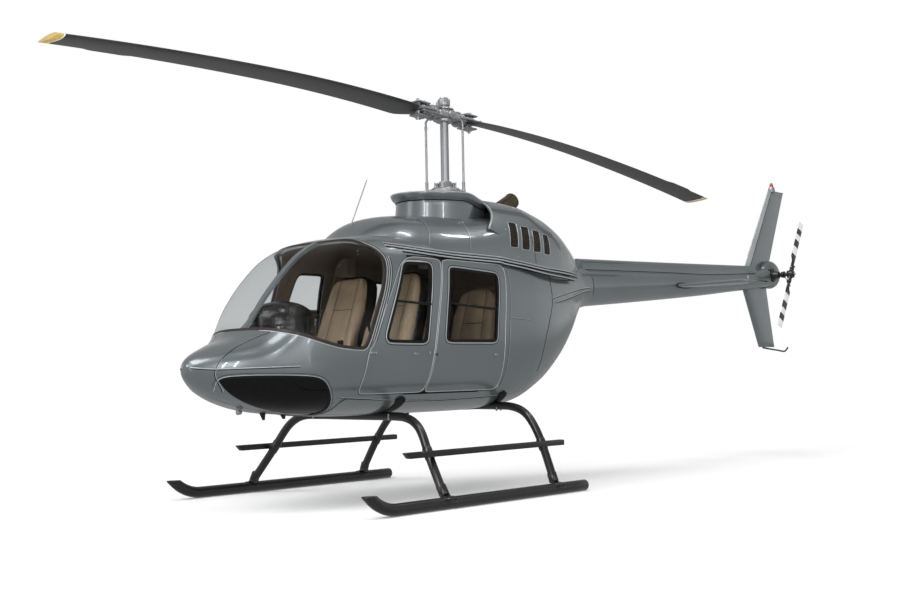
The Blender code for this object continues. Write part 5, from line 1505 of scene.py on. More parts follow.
def makeMast():
    top = rotor["hub"]
    bits = [rodMesh((0, 0, 2.40), (0, 0, top + 0.06), 0.036, None, 48),
            rodMesh((0, 0, top + 0.052), (0, 0, top + 0.100), 0.056, None, 12, 0.003),
            rodMesh((0, 0, top + 0.100), (0, 0, top + 0.125), 0.040, 0.036, 40, 0.003)]
    bits += boltRing(12, 0.047, top + 0.098, 0.006, 0.012, 10, 0.5)
    bits.append(spun(swashplate, 72))
    bits += boltRing(10, 0.098, 2.558, 0.0075, 0.012)
    for k in range(4):
        angle = pi / 4 + pi / 2 * k
        spot = Vector((0.070 * cos(angle), 0.070 * sin(angle), 2.560))
        out = spot * Vector((1.3, 1.3, 1))
        corners = spot - Vector((0.012, 0.009, 0.006)), spot + Vector((0.012, 0.009, 0.050))
        bits.append(boxMesh(*corners, 0.003))
        ends = [spot + Vector((way * 0.018, 0, 0.036)) for way in (-1, 1)]
        bits.append(rodMesh(*ends, 0.006, None, 14, 0.001))
        bits.append(rodMesh(out, out + Vector((0, 0, 0.055)), 0.005, None, 12, 0.001))
    addPiece("mastAndPlate", joinMeshes(bits), "steel", "main_rotor", ["rotor_mast"])
    print("rotor made")


exhaustProfile = ((0.062, -0.20), (0.069, -0.20), (0.070, 0.200), (0.073, 0.208), (0.075, 0.219),
                  (0.073, 0.228), (0.067, 0.230), (0.062, 0.220))


def makeDeck():
    bits = [boxMesh((-0.22, -0.17, 1.960), (0.22, 0.17, 2.30), 0.02, 3),
            rodMesh((0, 0, 2.28), (0, 0, 2.500), 0.085, 0.080, 48, 0.006),
            rodMesh((0, 0, 2.30), (0, 0, 2.35), 0.13, 0.10, 48, 0.006)]
    bits += boltRing(12, 0.115, 2.34, 0.007, 0.014)
    addPiece("gearboxCase", joinMeshes(bits), "alloy", "airframe", ["main_gearbox"])
    lean = Matrix.Rotation(radians(exhaust["lean"]), 3, "Y")
    pipe = spun(exhaustProfile, 64, turn=lean, place=exhaust["place"])
    addPiece("exhaustPipe", pipe, "bronze", "airframe", ["exhaust_stack"])
    print("deck parts made")


def remeshed(mesh, size):
    holder = placed("base", mesh)
    even = holder.modifiers.new("even", "REMESH")
    even.mode = "VOXEL"
    even.voxel_size = size
    return evaluated(holder)


cushionCloth = {"quality": 5, "mass": 0.3, "stretch": 14, "shear": 6, "bend": 0.6, "pressure": 4.0,
                "cap": 0.024, "frames": 20}


def puffed(mesh, seamWeight, cap=cushionCloth["cap"], pressure=cushionCloth["pressure"]):
    obj = placed("cushion", mesh)
    group = obj.vertex_groups.new(name="seams")
    for vert in mesh.vertices:
        weight = seamWeight(vert.co)
        if weight > 0:
            group.add([vert.index], weight, "REPLACE")
    cloth = obj.modifiers.new("cloth", "CLOTH")
    facts = cloth.settings
    facts.quality = cushionCloth["quality"]
    facts.mass = cushionCloth["mass"]
    facts.tension_stiffness = facts.compression_stiffness = cushionCloth["stretch"]
    facts.shear_stiffness = cushionCloth["shear"]
    facts.bending_stiffness = cushionCloth["bend"]
    facts.use_pressure = True
    facts.uniform_pressure_force = pressure
    facts.vertex_group_mass = "seams"
    facts.effector_weights.gravity = 0
    cloth.collision_settings.use_collision = False
    cloth.point_cache.frame_start = 1
    cloth.point_cache.frame_end = cushionCloth["frames"]
    for frameNumber in range(1, cushionCloth["frames"] + 1):
        bpy.context.scene.frame_set(frameNumber)
    before, after = np.zeros(len(mesh.vertices) * 3), np.zeros(len(mesh.vertices) * 3)
    mesh.vertices.foreach_get("co", before)
    blown = evaluated(obj)
    bpy.context.scene.frame_set(1)
    blown.vertices.foreach_get("co", after)
    move = (after - before).reshape(-1, 3)
    size = np.linalg.norm(move, axis=1, keepdims=True)
    move *= np.minimum(1, cap / np.maximum(size, 1e-9))
    blown.vertices.foreach_set("co", (before.reshape(-1, 3) + move).ravel())
    return blown


def finer(mesh):
    holder = placed("fine", mesh)
    halves = holder.modifiers.new("fine", "SUBSURF")
    halves.levels = halves.render_levels = 1
    result = evaluated(holder)
    result.shade_smooth()
    return result


def nearSeam(distance, reach=0.010):
    return max(0.0, 1 - max(distance - 0.004, 0) / reach)


seat = {"place": (-1.080, -0.305, 1.10), "lean": 20.0, "half": 0.118, "top": 0.108, "cross": 0.430,
        "thick": 0.105}
bench = {"place": (-0.052, -0.270, 1.12), "lean": 15.2, "half": 0.125, "top": 0.100, "cross": 0.27,
         "thick": 0.115}
seatBack = ((-0.245, 0.0), (-0.252, 0.10), (-0.235, 0.40), (-0.212, 0.58), (-0.190, 0.660), (-0.160, 0.705),
            (-0.110, 0.722), (0.110, 0.722), (0.160, 0.705), (0.190, 0.660), (0.212, 0.58), (0.235, 0.40),
            (0.252, 0.10), (0.245, 0.0))
benchBack = ((-0.235, 0.0), (-0.245, 0.10), (-0.238, 0.32), (-0.205, 0.47), (-0.170, 0.545), (-0.120, 0.580),
             (-0.060, 0.590), (0.060, 0.590), (0.120, 0.580), (0.170, 0.545), (0.205, 0.47), (0.238, 0.32),
             (0.245, 0.10), (0.235, 0.0))


def seatPlace(facts):
    turn = radians(facts["lean"])
    place = Matrix(((0, -cos(turn), sin(turn)), (1, 0, 0), (0, sin(turn), cos(turn)))).to_4x4()
    place.translation = Vector(facts["place"])
    return place


def seamAt(facts, height, v):    # how far the side seams stand from the middle at this height
    t = min(max(v / height, 0), 1)
    return facts["half"] + (facts["top"] - facts["half"]) * t


def backCushion(facts, outline):
    height = max(v for u, v in outline)
    bm = bmesh.new()
    bm.from_mesh(prism(tuple((u * 0.975, v * 0.985 + 0.004) for u, v in outline), -facts["thick"], 0.0))
    bevelSharp(bm, 0.026, 4, 60)
    bmesh.ops.recalc_face_normals(bm, faces=bm.faces)
    even = remeshed(meshFrom(bm, "back"), 0.0105)
    for vert in even.vertices:    # bolsters stand forward of the middle panel
        u, w, v = vert.co
        side = min(max((abs(u) - 0.105) / 0.07, 0), 1)
        front = min(max((w + 0.06) / 0.05, 0), 1)
        vert.co.y = w + 0.024 * side * side * (3 - 2 * side) * front

    def weight(co):
        if co.y < -facts["thick"] + 0.03:
            return 1.0
        line = abs(abs(co.x) - seamAt(facts, height, co.z))
        near = nearSeam(line)
        if abs(co.x) < facts["half"]:
            near = max(near, nearSeam(abs(co.z - facts["cross"])))
        return near if co.y > -0.05 else 0.0

    made = finer(puffed(even, weight))
    seams = []
    for way in (-1, 1):
        line = [(way * seamAt(facts, height, v), 0.0, v) for v in np.linspace(0.02, height - 0.03, 40)]
        seams.append(line)
    reach = facts["half"] * 0.96
    seams.append([(u, 0.0, facts["cross"]) for u in np.linspace(-reach, reach, 20)])
    return made, seams


def laidSeams(mesh, lines, radius=0.0028, axis=1):    # each line laid on the cushion from its front
    bm = bmesh.new()
    bm.from_mesh(mesh)
    tree = BVHTree.FromBMesh(bm)
    bars = []
    for line in lines:
        laid = []
        for point in line:
            start = Vector(point)
            start[axis] += 0.3
            way = Vector((0, 0, 0))
            way[axis] = -1
            hit = tree.ray_cast(start, way, 0.6)
            if hit[0]:
                laid.append(hit[0])
        if len(laid) > 2:
            bars.append(roundBar(laid, radius, False, 2))
    bm.free()
    return joinMeshes(bars)


def addCushion(name, mesh, node):
    piece = addPiece(name, mesh, "leather", "airframe", node)
    return piece


lowCushionFacts = {"bevel": 0.022, "segments": 4, "sharp": 60, "fixedBelow": 1.025}


def lowCushion(outline, lowY, highY, size, weight):
    bm = bmesh.new()
    bm.from_mesh(prism(outline, lowY, highY))
    bevelSharp(bm, lowCushionFacts["bevel"], lowCushionFacts["segments"], lowCushionFacts["sharp"])
    bmesh.ops.recalc_face_normals(bm, faces=bm.faces)
    return finer(puffed(remeshed(meshFrom(bm, "bottom"), size), weight))


def makeSeats():
    made, lines = backCushion(seat, seatBack)
    seams = laidSeams(made, lines)
    place = seatPlace(seat)
    shell = plateMesh(grown(seatBack, 0.016), -0.135, -0.030, 0.014, 4)
    for mesh in (made, seams, shell):
        mesh.transform(place)
    outline = ((-1.452, 1.00), (-1.462, 1.045), (-1.452, 1.095), (-1.420, 1.122), (-1.360, 1.128),
               (-1.030, 1.112), (-1.010, 1.06), (-1.010, 1.00))

    def weight(co):
        if co.z < lowCushionFacts["fixedBelow"]:
            return 1.0
        near = nearSeam(abs(abs(co.y + 0.305) - 0.125))
        if abs(co.y + 0.305) < 0.125:
            near = max(near, nearSeam(abs(co.x + 1.385)))
        return near

    bottom = lowCushion(outline, -0.518, -0.092, 0.0105, weight)
    crossing = [(-1.385, y, 1.1) for y in np.linspace(-0.425, -0.185, 20)]
    rows = [[(x, -0.305 + way * 0.125, 1.1) for x in np.linspace(-1.445, -1.06, 40)] for way in (-1, 1)]
    lowSeams = laidSeams(bottom, rows + [crossing], 0.0028, 2)
    base = joinMeshes([boxMesh((-1.36, -0.44, 0.802), (-0.94, -0.16, 0.99), 0.015, 3),
                       boxMesh((-1.45, -0.525, 0.962), (-0.99, -0.085, 1.010), 0.014, 3), shell])
    belts = []
    for way in (-1, 1):
        belts.append(rodMesh((-1.02, -0.305 + way * 0.215, 1.10), (-1.06, -0.305 + way * 0.19, 1.15), 0.010,
                             None, 12, 0.002))
    for name, mesh in (("seatBack", made), ("seatBottom", bottom)):
        other = mirroredMesh(mesh)
        addCushion(f"{name}_port", mesh, ["front_seat_port"])
        addCushion(f"{name}_starboard", other, ["front_seat_starboard"])
    beadPair("seatSeams_SIDE", [seams, lowSeams], "trimBrown", "airframe")
    beadPair("seatShell_SIDE", [base], "dash", "airframe")
    beadPair("beltAnchors_SIDE", belts, "steel", "airframe")
    print("front seats made")


def makeBench():
    made, lines = backCushion(bench, benchBack)
    seams = laidSeams(made, lines)
    place = seatPlace(bench)
    made.transform(place)
    seams.transform(place)
    other = mirroredMesh(made)
    addCushion("benchBack_port", made, ["rear_bench"])
    addCushion("benchBack_starboard", other, ["rear_bench"])
    beadPair("benchSeams_SIDE", [seams], "trimBrown", "airframe")
    outline = ((-0.470, 1.00), (-0.482, 1.045), (-0.470, 1.095), (-0.440, 1.120), (-0.380, 1.126),
               (-0.050, 1.112), (-0.032, 1.06), (-0.032, 1.00))

    def weight(co):
        if co.z < lowCushionFacts["fixedBelow"]:
            return 1.0
        side = abs(co.y)
        return max(nearSeam(side), nearSeam(abs(side - 0.135)), nearSeam(abs(side - 0.405)))

    bottom = lowCushion(outline, -0.525, 0.525, 0.0125, weight)
    rows = [[(x, y, 1.1) for x in np.linspace(-0.465, -0.06, 36)]
            for y in (-0.405, -0.135, 0, 0.135, 0.405)]
    lowSeams = laidSeams(bottom, rows, 0.0028, 2)
    addCushion("benchBottom", bottom, ["rear_bench"])
    addPiece("benchLowSeams", lowSeams, "trimBrown", "airframe")
    base = [boxMesh((-0.40, -0.50, 0.802), (0.20, 0.50, 0.99), 0.015, 3),
            boxMesh((-0.47, -0.53, 0.962), (-0.02, 0.53, 1.010), 0.014, 3),
            plateMesh(((0.020, 1.01), (0.165, 1.70), (0.185, 1.715), (0.225, 1.70), (0.225, 1.01)),
                      -0.52, 0.52, 0.015, 3)]
    addPiece("benchBase", joinMeshes(base), "lining", "airframe", ["rear_bench"])
    print("bench made")


dash = {
    "centre": (-1.825, 0, 1.320), "stretch": (1.10, 1.08, 1.0), "radius": 0.236,
    "hood": ((0, -0.15), (0.232, -0.15), (0.236, -0.10), (0.237, -0.02), (0.235, 0.050), (0.229, 0.085),
             (0.216, 0.120), (0.192, 0.152), (0.160, 0.178), (0.120, 0.198), (0.080, 0.209),
             (0.040, 0.214), (0, 0.215)),
    # y, z, radius
    "dials": ((-0.115, 1.430, 0.034), (-0.038, 1.445, 0.034), (0.038, 1.445, 0.034), (0.115, 1.430, 0.034),
              (-0.125, 1.362, 0.026), (-0.062, 1.366, 0.026), (0, 1.368, 0.026), (0.062, 1.366, 0.026),
              (0.125, 1.362, 0.026)),
    "radios": (1.08, 1.14, 1.20, 1.26),
}


def makeDash():
    centre, (long, wide, _), radius = dash["centre"], dash["stretch"], dash["radius"]
    hood = spun(dash["hood"], 96, dash["stretch"], None, centre)
    lip = []
    for k in range(72):
        angle = 2 * pi * k / 72
        lip.append((centre[0] + long * radius * cos(angle), wide * radius * sin(angle), centre[2] + 0.030))
    seam = []
    for k in range(31):
        angle = pi * k / 30
        seam.append((centre[0] + long * 0.235 * cos(angle), 0.0,
                     centre[2] + 0.020 + 0.196 * sin(angle) ** 0.85))
    bits = [hood, roundBar(lip, 0.006, True), roundBar(seam, 0.003, False, 2),
            boxMesh((-1.86, -0.13, 0.802), (-1.66, 0.13, 1.36), 0.018, 3),
            boxMesh((-1.67, -0.105, 1.02), (-1.60, 0.105, 1.33), 0.012, 3)]
    addPiece("dashHood", joinMeshes(bits), "dash", "airframe", ["instrument_panel"])
    rings, faces = [], []
    for y, z, size in dash["dials"]:    # on the hood's round face
        x = centre[0] + long * (radius ** 2 - (y / wide) ** 2) ** 0.5 * (1.0 if z < 1.40 else 0.985)
        rings.append(rodMesh((x - 0.05, y, z), (x + 0.004, y, z), size, size * 0.94, 40, 0.002))
        faces.append(rodMesh((x - 0.01, y, z), (x + 0.0048, y, z), size * 0.84, None, 40))
        faces.append(boxMesh((x + 0.004, y - 0.0012, z - 0.002), (x + 0.0062, y + 0.0012, z + size * 0.7),
                             0.0004))
    for z in dash["radios"]:
        rings.append(boxMesh((-1.602, -0.085, z - 0.024), (-1.592, 0.085, z + 0.024), 0.003))
        for y in (-0.065, 0.065):
            faces.append(rodMesh((-1.593, y, z), (-1.578, y, z), 0.010, None, 20, 0.002))
    addPiece("dialCases", joinMeshes(rings), "blackGloss", "airframe")
    addPiece("dialFaces", joinMeshes(faces), "alloy", "airframe")
    sticks, grips = [], []
    for y in (-0.305, 0.305):
        path = easyPath(((-1.56, y, 0.805), (-1.56, y, 0.88), (-1.50, y, 0.98), (-1.50, y, 1.12)), 8)
        sticks.append(roundBar(path, 0.011))
        grips.append(rodMesh((-1.50, y, 1.10), (-1.512, y, 1.235), 0.019, 0.023, 24, 0.006))
        side = y + 0.245
        sticks.append(roundBar([(-1.00, side, 0.86), (-1.25, side, 1.03)], 0.012))
        grips.append(rodMesh((-1.22, side, 1.010), (-1.36, side, 1.104), 0.018, 0.020, 24, 0.005))
        for foot in (-0.07, 0.07):
            grips.append(boxMesh((-1.845, y + foot - 0.038, 0.86), (-1.83, y + foot + 0.038, 0.955), 0.004))
            sticks.append(rodMesh((-1.84, y + foot, 0.802), (-1.84, y + foot, 0.90), 0.008, None, 16))
    addPiece("controlSticks", joinMeshes(sticks), "steel", "airframe")
    addPiece("controlGrips", joinMeshes(grips), "rubber", "airframe")
    print("dash made")


def smoothXZ(points, steps=10):
    return [(p.x, p.z) for p in easyPath([(x, 0, z) for x, z in points], steps)]


def trace(points, out=0.0):    # a line on the body's port side, from its x and z
    return [onSkin(p[0], p[1], out) for p in densePath([(*q, 0) for q in points], 0.015)]


def closedTrace(outline, out=0.0):
    path = densePath([(*q, 0) for q in outline], 0.010, True)
    return [onSkin(p.x, p.y, out) for p in path]


def cowlY(table, x, z, out=0.0):
    base, high, half, shape = smoothRow(table, x)
    part = min(max((z - base) / (high + out - base), 0), 1)
    return (half + out) * (1 - part ** shape) ** (1 / shape)


def cowlTrace(table, points, out=0.0):
    path = densePath([(*q, 0) for q in points], 0.015)
    return [Vector((p.x, -cowlY(table, p.x, p.y, out), p.y)) for p in path]


def roofTrace(points, out=0.0):    # the same, over the foot of the cowls where they stand wider
    line = []
    for p in densePath([(*q, 0) for q in points], 0.015):
        table = frontCowlRows if p.x < 0.14 else engineCowlRows
        wide = skinY(p.x, p.y)
        if table[0][0] < p.x < table[-1][0]:
            wide = max(wide, cowlY(table, p.x, p.y))
        line.append(Vector((p.x, -wide - out, p.y)))
    return line


def skinRuns(points, keep, radius, out=0.0):    # bars along the parts of an outline that the test keeps
    bars, run = [], []
    for p in points + [None]:
        if p is not None and keep(p):
            run.append(onSkin(p.x, p.y, out))
        else:
            if len(run) > 2:
                bars.append(roundBar(run, radius))
            run = []
    return bars


doorLines = {"edge": 0.0034, "bright": 0.0042, "fine": 0.0026}


def doorEdgeLines():
    for kind, door, window in doorSet:
        # painted highlights: a pale bead just inside each door's edge and round each window, where the edges
        # would catch the light; a dark line beyond the window's bead
        rim = roundBar(closedTrace(grown(door, -0.0065), -0.0006), doorLines["edge"], True, 2)
        beadPair(f"{kind}DoorRim_SIDE", [rim], "edgePaint", f"{kind}_door_SIDE")
        bright = roundBar(closedTrace(grown(window, 0.0105), -0.0004), doorLines["bright"], True, 2)
        fine = roundBar(closedTrace(grown(window, 0.0210), -0.0006), doorLines["fine"], True, 2)
        beadPair(f"{kind}WindowEdge_SIDE", [bright], "edgePaint", f"{kind}_door_SIDE")
        beadPair(f"{kind}WindowLine_SIDE", [fine], "rubber", f"{kind}_door_SIDE")


windowBars = {"crew": ((-1.262, 1.523), (-0.880, 1.506)), "rear": ((-0.690, 1.521), (-0.098, 1.484))}


def makeWindowBars():
    for kind, (one, two) in windowBars.items():
        path = [onSkin(x, z, -0.004) for x, z in (one, ((one[0] + two[0]) / 2, (one[1] + two[1]) / 2), two)]
        beadPair(f"{kind}WindowBar_SIDE", [roundBar(path, 0.0095, False, 4)], "rubber",
                 f"{kind}_door_SIDE")
        latch = onSkin(two[0] - 0.05, two[1] + 0.010, 0.002)
        beadPair(f"{kind}WindowLatch_SIDE", [ballMesh(latch, 0.009, (1.4, 0.6, 0.8), 16)], "dash",
                 f"{kind}_door_SIDE")


bodyLines = {
    "crease": ((-2.685, 1.046), (-2.577, 1.034), (-2.39, 1.037), (-2.084, 1.044)),
    "noseSeam": ((-2.190, 1.290), (-2.296, 1.236), (-2.420, 1.180), (-2.520, 1.115), (-2.571, 1.045),
                 (-2.574, 0.972), (-2.504, 0.871)),
    "dripUpper": ((-1.270, 1.950), (-0.620, 1.914), (-0.030, 1.902), (0.100, 1.892), (0.300, 1.877),
                  (0.720, 1.845), (1.440, 1.838)),
    "dripLower": ((-1.120, 1.916), (-0.620, 1.889), (-0.030, 1.880), (0.060, 1.870), (0.300, 1.850),
                  (0.720, 1.812), (1.300, 1.800)),
    "belly": ((-1.720, 0.806), (-1.505, 0.794), (-1.082, 0.766), (-0.632, 0.760), (-0.166, 0.770),
              (0.078, 0.779), (0.341, 0.814)),
    "aftSeam": ((0.790, 1.812), (0.748, 1.720), (0.716, 1.526), (0.580, 1.237), (0.492, 0.970)),
    "doorAft": ((0.072, 1.825), (0.066, 1.564), (0.042, 1.233), (0.012, 0.960), (-0.010, 0.860)),
    "baggage": ((0.052, 1.415), (0.330, 1.403)),
    "scoop": ((0.722, 1.602), (1.074, 1.662), (1.507, 1.728), (1.760, 1.752)),
    "scoopLow": ((0.831, 1.572), (1.170, 1.632), (1.564, 1.698), (1.760, 1.728)),
}


seamSizes = {"noseSeam": 0.0030, "aftSeam": 0.0028, "doorAft": 0.0024, "baggage": 0.0020, "belly": 0.0030}
# sizes of the painted highlights along the creases
creaseSizes = {"crease": 0.0038, "scoop": 0.0042, "scoopLow": 0.0036}


def shifted(line, alongX, alongZ):
    return [(x + alongX, z + alongZ) for x, z in line]


def around(outline, offset):
    return densePath([(*q, 0) for q in grown(outline, offset)], 0.010, True)


def onBody(p, low=0.72, high=2.0, first=-2.60):    # clear of the body's upper and lower edges
    row = smoothRow(bodyRows, p.x)
    return max(low, row[0] + 0.014) < p.y < min(high, row[2] - 0.012) and p.x > first


def onPillar(p):
    return 1.215 < p.y < 1.86 and -1.56 < p.x < -1.2


def makeBodyLines():
    light, dark = [], []
    # the drip rails in painted highlight, with dark lines just below and above them painted as shade
    for name in ("dripUpper", "dripLower"):
        line = smoothXZ(bodyLines[name])
        light.append(roundBar(roofTrace(line, 0.0015), 0.0062))
        dark.append(roundBar(roofTrace(shifted(line, 0, -0.0115), 0.0005), 0.0046))
        dark.append(roundBar(roofTrace(shifted(line, 0, 0.0100), 0), 0.0030))
    # a further painted highlight line above the upper rail
    middle = shifted(smoothXZ(bodyLines["dripUpper"]), 0, 0.022)
    light.append(roundBar(roofTrace(middle, 0.0005), 0.0040))
    for name, size in seamSizes.items():    # a dark joint with a painted highlight along the edge behind it
        line = smoothXZ(bodyLines[name])
        dark.append(roundBar(trace(line), size))
        light.append(roundBar(trace(shifted(line, 0.0045, 0.003), -0.0004), 0.0022))
    # a painted highlight along each crease, with painted shade just below it
    for name, size in creaseSizes.items():
        line = smoothXZ(bodyLines[name])
        light.append(roundBar(trace(line), size))
        dark.append(roundBar(trace(shifted(line, 0, -0.007)), 0.0028))
    # a painted highlight round the windshield, and a dark line further out
    light += skinRuns(around(windshieldEdge, 0.010), lambda p: onBody(p, 1.0, 2.2, -2.42), 0.0034, -0.0004)
    dark += skinRuns(around(windshieldEdge, 0.021), lambda p: onBody(p, 1.17, 2.0, -1.60), 0.0024)
    # ribbed door pillar: its ribs in painted highlight, with painted shade between them
    for offset, bars in ((0.031, light), (0.041, dark), (0.051, light), (0.061, dark)):
        bars += skinRuns(around(windshieldEdge, offset), onPillar, 0.0026)
    # a painted highlight round the chin windows, and a dark line further out
    light += skinRuns(around(chinEdge, 0.007), onBody, 0.0026, -0.0003)
    dark += skinRuns(around(chinEdge, 0.020), onBody, 0.0016)
    beadPair("bodyLightLines_SIDE", light, "edgePaint", "airframe")
    beadPair("bodyDarkLines_SIDE", dark, "rubber", "airframe")
    print("body lines made")


cowlLines = {
    "frontOne": ((-0.646, 2.235), (-0.700, 2.150), (-0.745, 2.070), (-0.785, 1.985)),
    "frontTwo": ((-0.270, 2.205), (-0.300, 2.120), (-0.330, 2.040), (-0.357, 1.955)),
    "engineSeam": ((0.485, 2.110), (0.500, 1.900)),
    "ridge": ((0.150, 2.442), (0.300, 2.440), (0.436, 2.430), (0.578, 2.392), (0.762, 2.300),
              (0.963, 2.165), (1.200, 2.030), (1.457, 1.905)),
    "fasteners": ((0.152, 2.167), (0.60, 2.36), (1.30, 1.98), (0.25, 1.935), (0.90, 1.925), (1.25, 1.93)),
    "slats": 15, "slatDepth": -0.009,
    # the collar's lip in painted highlight and, at its neck, a painted shadow under the rim: half length,
    # half width, height, from and to in degrees, points
    "lip": (0.5455, 0.38185, 2.4735, 18, 342, 121), "neck": (0.4975, 0.3480, 2.4085, 40, 320, 110),
}


def makeCowlLines():
    light, dark, steel = [], [], []
    # dark seams across the front cowl, each with a painted highlight along its edge
    for name in ("frontOne", "frontTwo"):
        line = smoothXZ(cowlLines[name])
        dark.append(roundBar(cowlTrace(frontCowlRows, line, 0), 0.0020))
        light.append(roundBar(cowlTrace(frontCowlRows, shifted(line, 0.005, 0), -0.0004), 0.0022))
    dark.append(roundBar(cowlTrace(engineCowlRows, smoothXZ(cowlLines["engineSeam"]), 0), 0.0020))
    dark.append(roundBar(cowlTrace(engineCowlRows, ((0.440, 2.125), (0.530, 2.120)), 0), 0.0016))
    ridge = smoothXZ(cowlLines["ridge"])
    # the ridge in painted highlight, with painted shade just above it
    light.append(roundBar(cowlTrace(engineCowlRows, ridge, 0.0004), 0.0036))
    dark.append(roundBar(cowlTrace(engineCowlRows, shifted(ridge, 0, 0.010), 0), 0.0026))
    rim = []    # rolled rim of the intake opening, coloured as a painted highlight
    for point in easyPath([(x, 0, z) for x, z in cowls["intakeEdge"][1:]], 8):
        rim.append((point.x, -cowlY(engineCowlRows, 0.145, point.z, -0.003), point.z))
    light.append(roundBar(rim, 0.0085, False, 5))
    # a painted highlight round each louvre's edge
    for i in range(louvres["count"]):
        line = softened(louvreLine(i), 2, louvres["corner"])
        rim = [Vector((p.x, -cowlY(engineCowlRows, p.x, p.y), p.y)) for p in around(line, 0.001)]
        light.append(roundBar(rim, 0.0026, True, 2))
    for x, z in cowlLines["fasteners"]:
        y = -cowlY(engineCowlRows, x, z)
        steel.append(ballMesh((x, y, z), 0.008, (1, 0.5, 1), 16))
    beadPair("cowlLightLines_SIDE", light, "edgePaint", "airframe")
    beadPair("cowlDarkLines_SIDE", dark, "rubber", "airframe")
    beadPair("cowlFasteners_SIDE", steel, "steel", "airframe")
    slats = []
    for i in range(louvres["count"]):
        line = louvreLine(i)
        for k in range(cowlLines["slats"]):
            t = (k + 0.5) / cowlLines["slats"]
            a = [line[0][c] + (line[3][c] - line[0][c]) * t for c in (0, 1)]
            b = [line[1][c] + (line[2][c] - line[1][c]) * t for c in (0, 1)]
            ends = ((a[0] + 0.001, a[1]), (b[0] - 0.001, b[1]))
            slats.append(roundBar(cowlTrace(engineCowlRows, ends, cowlLines["slatDepth"]), 0.0048, False, 2))
    beadPair("louvreSlats_SIDE", slats, "louvreBronze", "airframe")
    # a painted highlight on the collar's lip, and a painted shadow under its rim
    for name, key, size, finish in (("collarLipHighlight", "lip", 0.0052, "edgePaint"),
                                    ("collarNeckShadow", "neck", 0.0045, "rubber")):
        long, wide, height, first, last, count = cowlLines[key]
        ring = [sunkRim((long * cos(a), wide * sin(a), height))
                for a in np.linspace(radians(first), radians(last), count)]
        addPiece(name, roundBar(ring, size), finish, "airframe")
    print("cowl lines made")


fittings = {
    "handles": ((-1.505, 1.131, "crew"), (-1.060, 1.122, "crew"), (-0.130, 1.113, "rear")),
    "latches": ((-1.470, 1.131), (-0.905, 1.129)),
    "whip": ((-1.149, 0, 2.078), (-1.075, 0, 2.232), (-1.000, 0, 2.390), (-0.927, 0, 2.546)),
    # x, y, depth below the belly
    "antennas": ((-2.02, 0.0, 0.050), (-1.78, 0.06, 0.032), (-0.62, -0.10, 0.030), (0.46, 0, 0.05)),
    "tubeBolts": ((0.075, -0.47, 0.690), (0.125, -0.47, 0.692), (-1.150, -0.44, 0.668),
                  (-1.095, -0.44, 0.668)),
}


def makeFittings():
    bits = {"crew": [], "rear": []}
    for x, z, door in fittings["handles"]:
        spot = onSkin(x, z)
        corners = spot + Vector((-0.020, -0.006, -0.010)), spot + Vector((0.020, 0.004, 0.010))
        ends = spot + Vector((0.004, -0.010, 0.0)), spot + Vector((0.030, -0.009, 0.0))
        bits[door] += [boxMesh(*corners, 0.0035, 3),
                       ballMesh(spot + Vector((-0.010, -0.006, 0)), 0.011, (1, 0.8, 1), 16),
                       rodMesh(*ends, 0.0045, 0.003, 14, 0.001)]
    for x, z in fittings["latches"]:
        spot = onSkin(x, z)
        ends = spot + Vector((0, -0.004, -0.012)), spot + Vector((0, -0.004, 0.012))
        bits["crew"].append(rodMesh(*ends, 0.005, None, 16, 0.001))
    for door, meshes in bits.items():
        beadPair(f"{door}Handle_SIDE", meshes, "steel", f"{door}_door_SIDE")
    addPiece("whipAntenna", roundBar(easyPath(fittings["whip"], 8), 0.0048), "alloy", "airframe")
    base = [rodMesh((-1.156, 0, 2.050), (-1.140, 0, 2.095), 0.024, 0.010, 28, 0.003),
            ballMesh((-1.158, 0, 2.058), 0.026, (1.3, 1, 0.5), 28)]
    addPiece("antennaBase", joinMeshes(base), "whitePaint", "airframe")
    lamp = [rodMesh((-2.273, -0.059, 0.775), (-2.273, -0.059, 0.722), 0.010, None, 20, 0.002),
            boxMesh((-2.300, -0.070, 0.738), (-2.246, -0.048, 0.752), 0.003),
            rodMesh((-2.290, -0.059, 0.720), (-2.255, -0.059, 0.720), 0.020, 0.015, 28, 0.003),
            rodMesh((-2.240, 0.02, 0.765), (-2.240, 0.02, 0.730), 0.006, None, 12, 0.001)]
    addPiece("noseFitting", joinMeshes(lamp), "steel", "airframe")
    fins = []
    for x, y, size in fittings["antennas"]:
        low = smoothRow(bodyRows, x)[0]
        outline = ((x - 0.030, low + 0.012), (x + 0.034, low + 0.012), (x + 0.026, low - size),
                   (x + 0.004, low - size))
        fins.append(plateMesh(outline, y - 0.004, y + 0.004, 0.003))
    addPiece("bellyAntennas", joinMeshes(fins), "blackGloss", "airframe")
    bolts = []
    for x, y, z in fittings["tubeBolts"]:
        bolts.append(rodMesh((x, y, z), (x, y, z - 0.045), 0.006, None, 14, 0.001))
        bolts.append(rodMesh((x, y, z - 0.030), (x, y, z - 0.038), 0.011, None, 6, 0.001))
    beadPair("tubeBolts_SIDE", bolts, "steel", "airframe")
    print("fittings made")


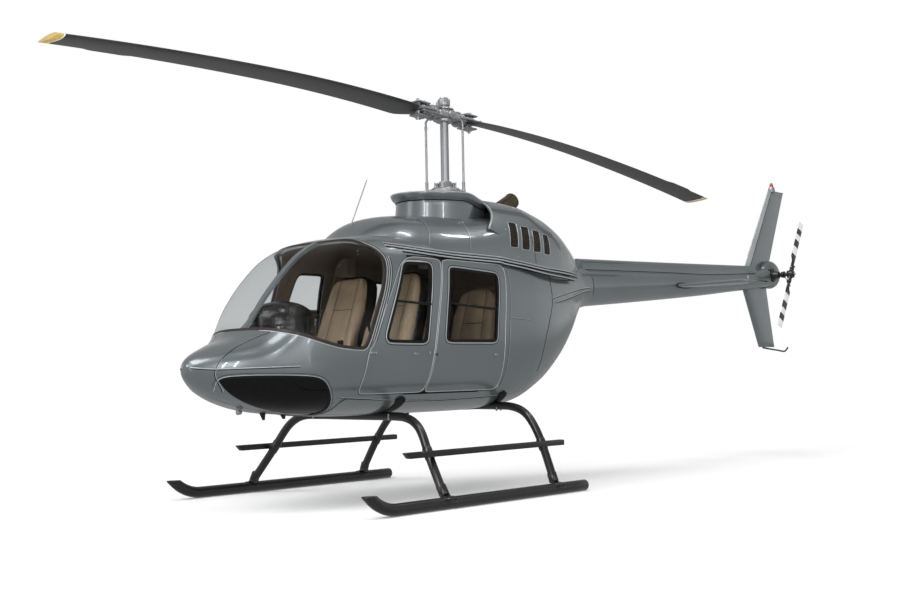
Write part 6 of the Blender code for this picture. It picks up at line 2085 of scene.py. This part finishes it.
bellyFront = ((-1.700, 0.60), (-1.700, 0.797), (-1.505, 0.788), (-1.160, 0.767), (-1.125, 0.757),
              (-1.112, 0.735), (-1.110, 0.60))
bellyRear = ((-1.058, 0.60), (-1.058, 0.761), (-0.632, 0.754), (-0.166, 0.764), (0.020, 0.770),
             (0.060, 0.762), (0.080, 0.735), (0.084, 0.60))
strapFront = ((-1.135, 0.60), (-1.138, 0.740), (-1.148, 0.775), (-1.120, 0.796), (-1.070, 0.792),
              (-1.045, 0.765), (-1.038, 0.720), (-1.038, 0.60))
strapRear = ((0.062, 0.60), (0.060, 0.750), (0.048, 0.785), (0.078, 0.806), (0.120, 0.802), (0.148, 0.772),
             (0.156, 0.730), (0.156, 0.60))


def makeBelly():
    shell = carved(bodySolid(-0.007, -1.75, 0.20), [(bodySolid(0.001), "DIFFERENCE")])
    for name, outline in (("front", bellyFront), ("rear", bellyRear)):
        piece = carved(shell, [(prism(softened(outline, 1), -0.9, 0.9), "INTERSECT")])
        shadeSkin(piece, "body")
        addPiece(f"bellyFairing_{name}", piece, "paint", "airframe")
    band = carved(bodySolid(-0.011, -1.75, 0.20), [(bodySolid(0.001), "DIFFERENCE")])
    for name, outline in (("front", strapFront), ("rear", strapRear)):
        piece = carved(band, [(prism(outline, -0.9, 0.9), "INTERSECT")])
        shadeSkin(piece, "body")
        addPiece(f"tubeStrap_{name}", piece, "rubber", "airframe")
    print("belly made")


makeCamera()
makeStudio()
material = makeMaterials()
# slots whose finish has another name; the others share it
slotFinish = {"trim": "trimBrown", "black": "blackGloss", "blade": "bladeSkin", "glass": "clear",
              "stripe": "whitePaint"}
for node in frame["nodes"].values():
    for hold in node.material_slots:
        word = hold.material.name.split(".")[0] if hold.material else "paint"
        hold.material = material.get(slotFinish.get(word, word), material["paint"])
makeBody()
makeGlass()
makeSeals()
makeCowls()
makeTail()
makeTailRotor()
makeGear()
makeBlades()
makeHead()
makeMast()
makeDeck()
makeSeats()
makeBench()
makeDash()
doorEdgeLines()
makeWindowBars()
makeBodyLines()
makeCowlLines()
makeFittings()
makeBelly()
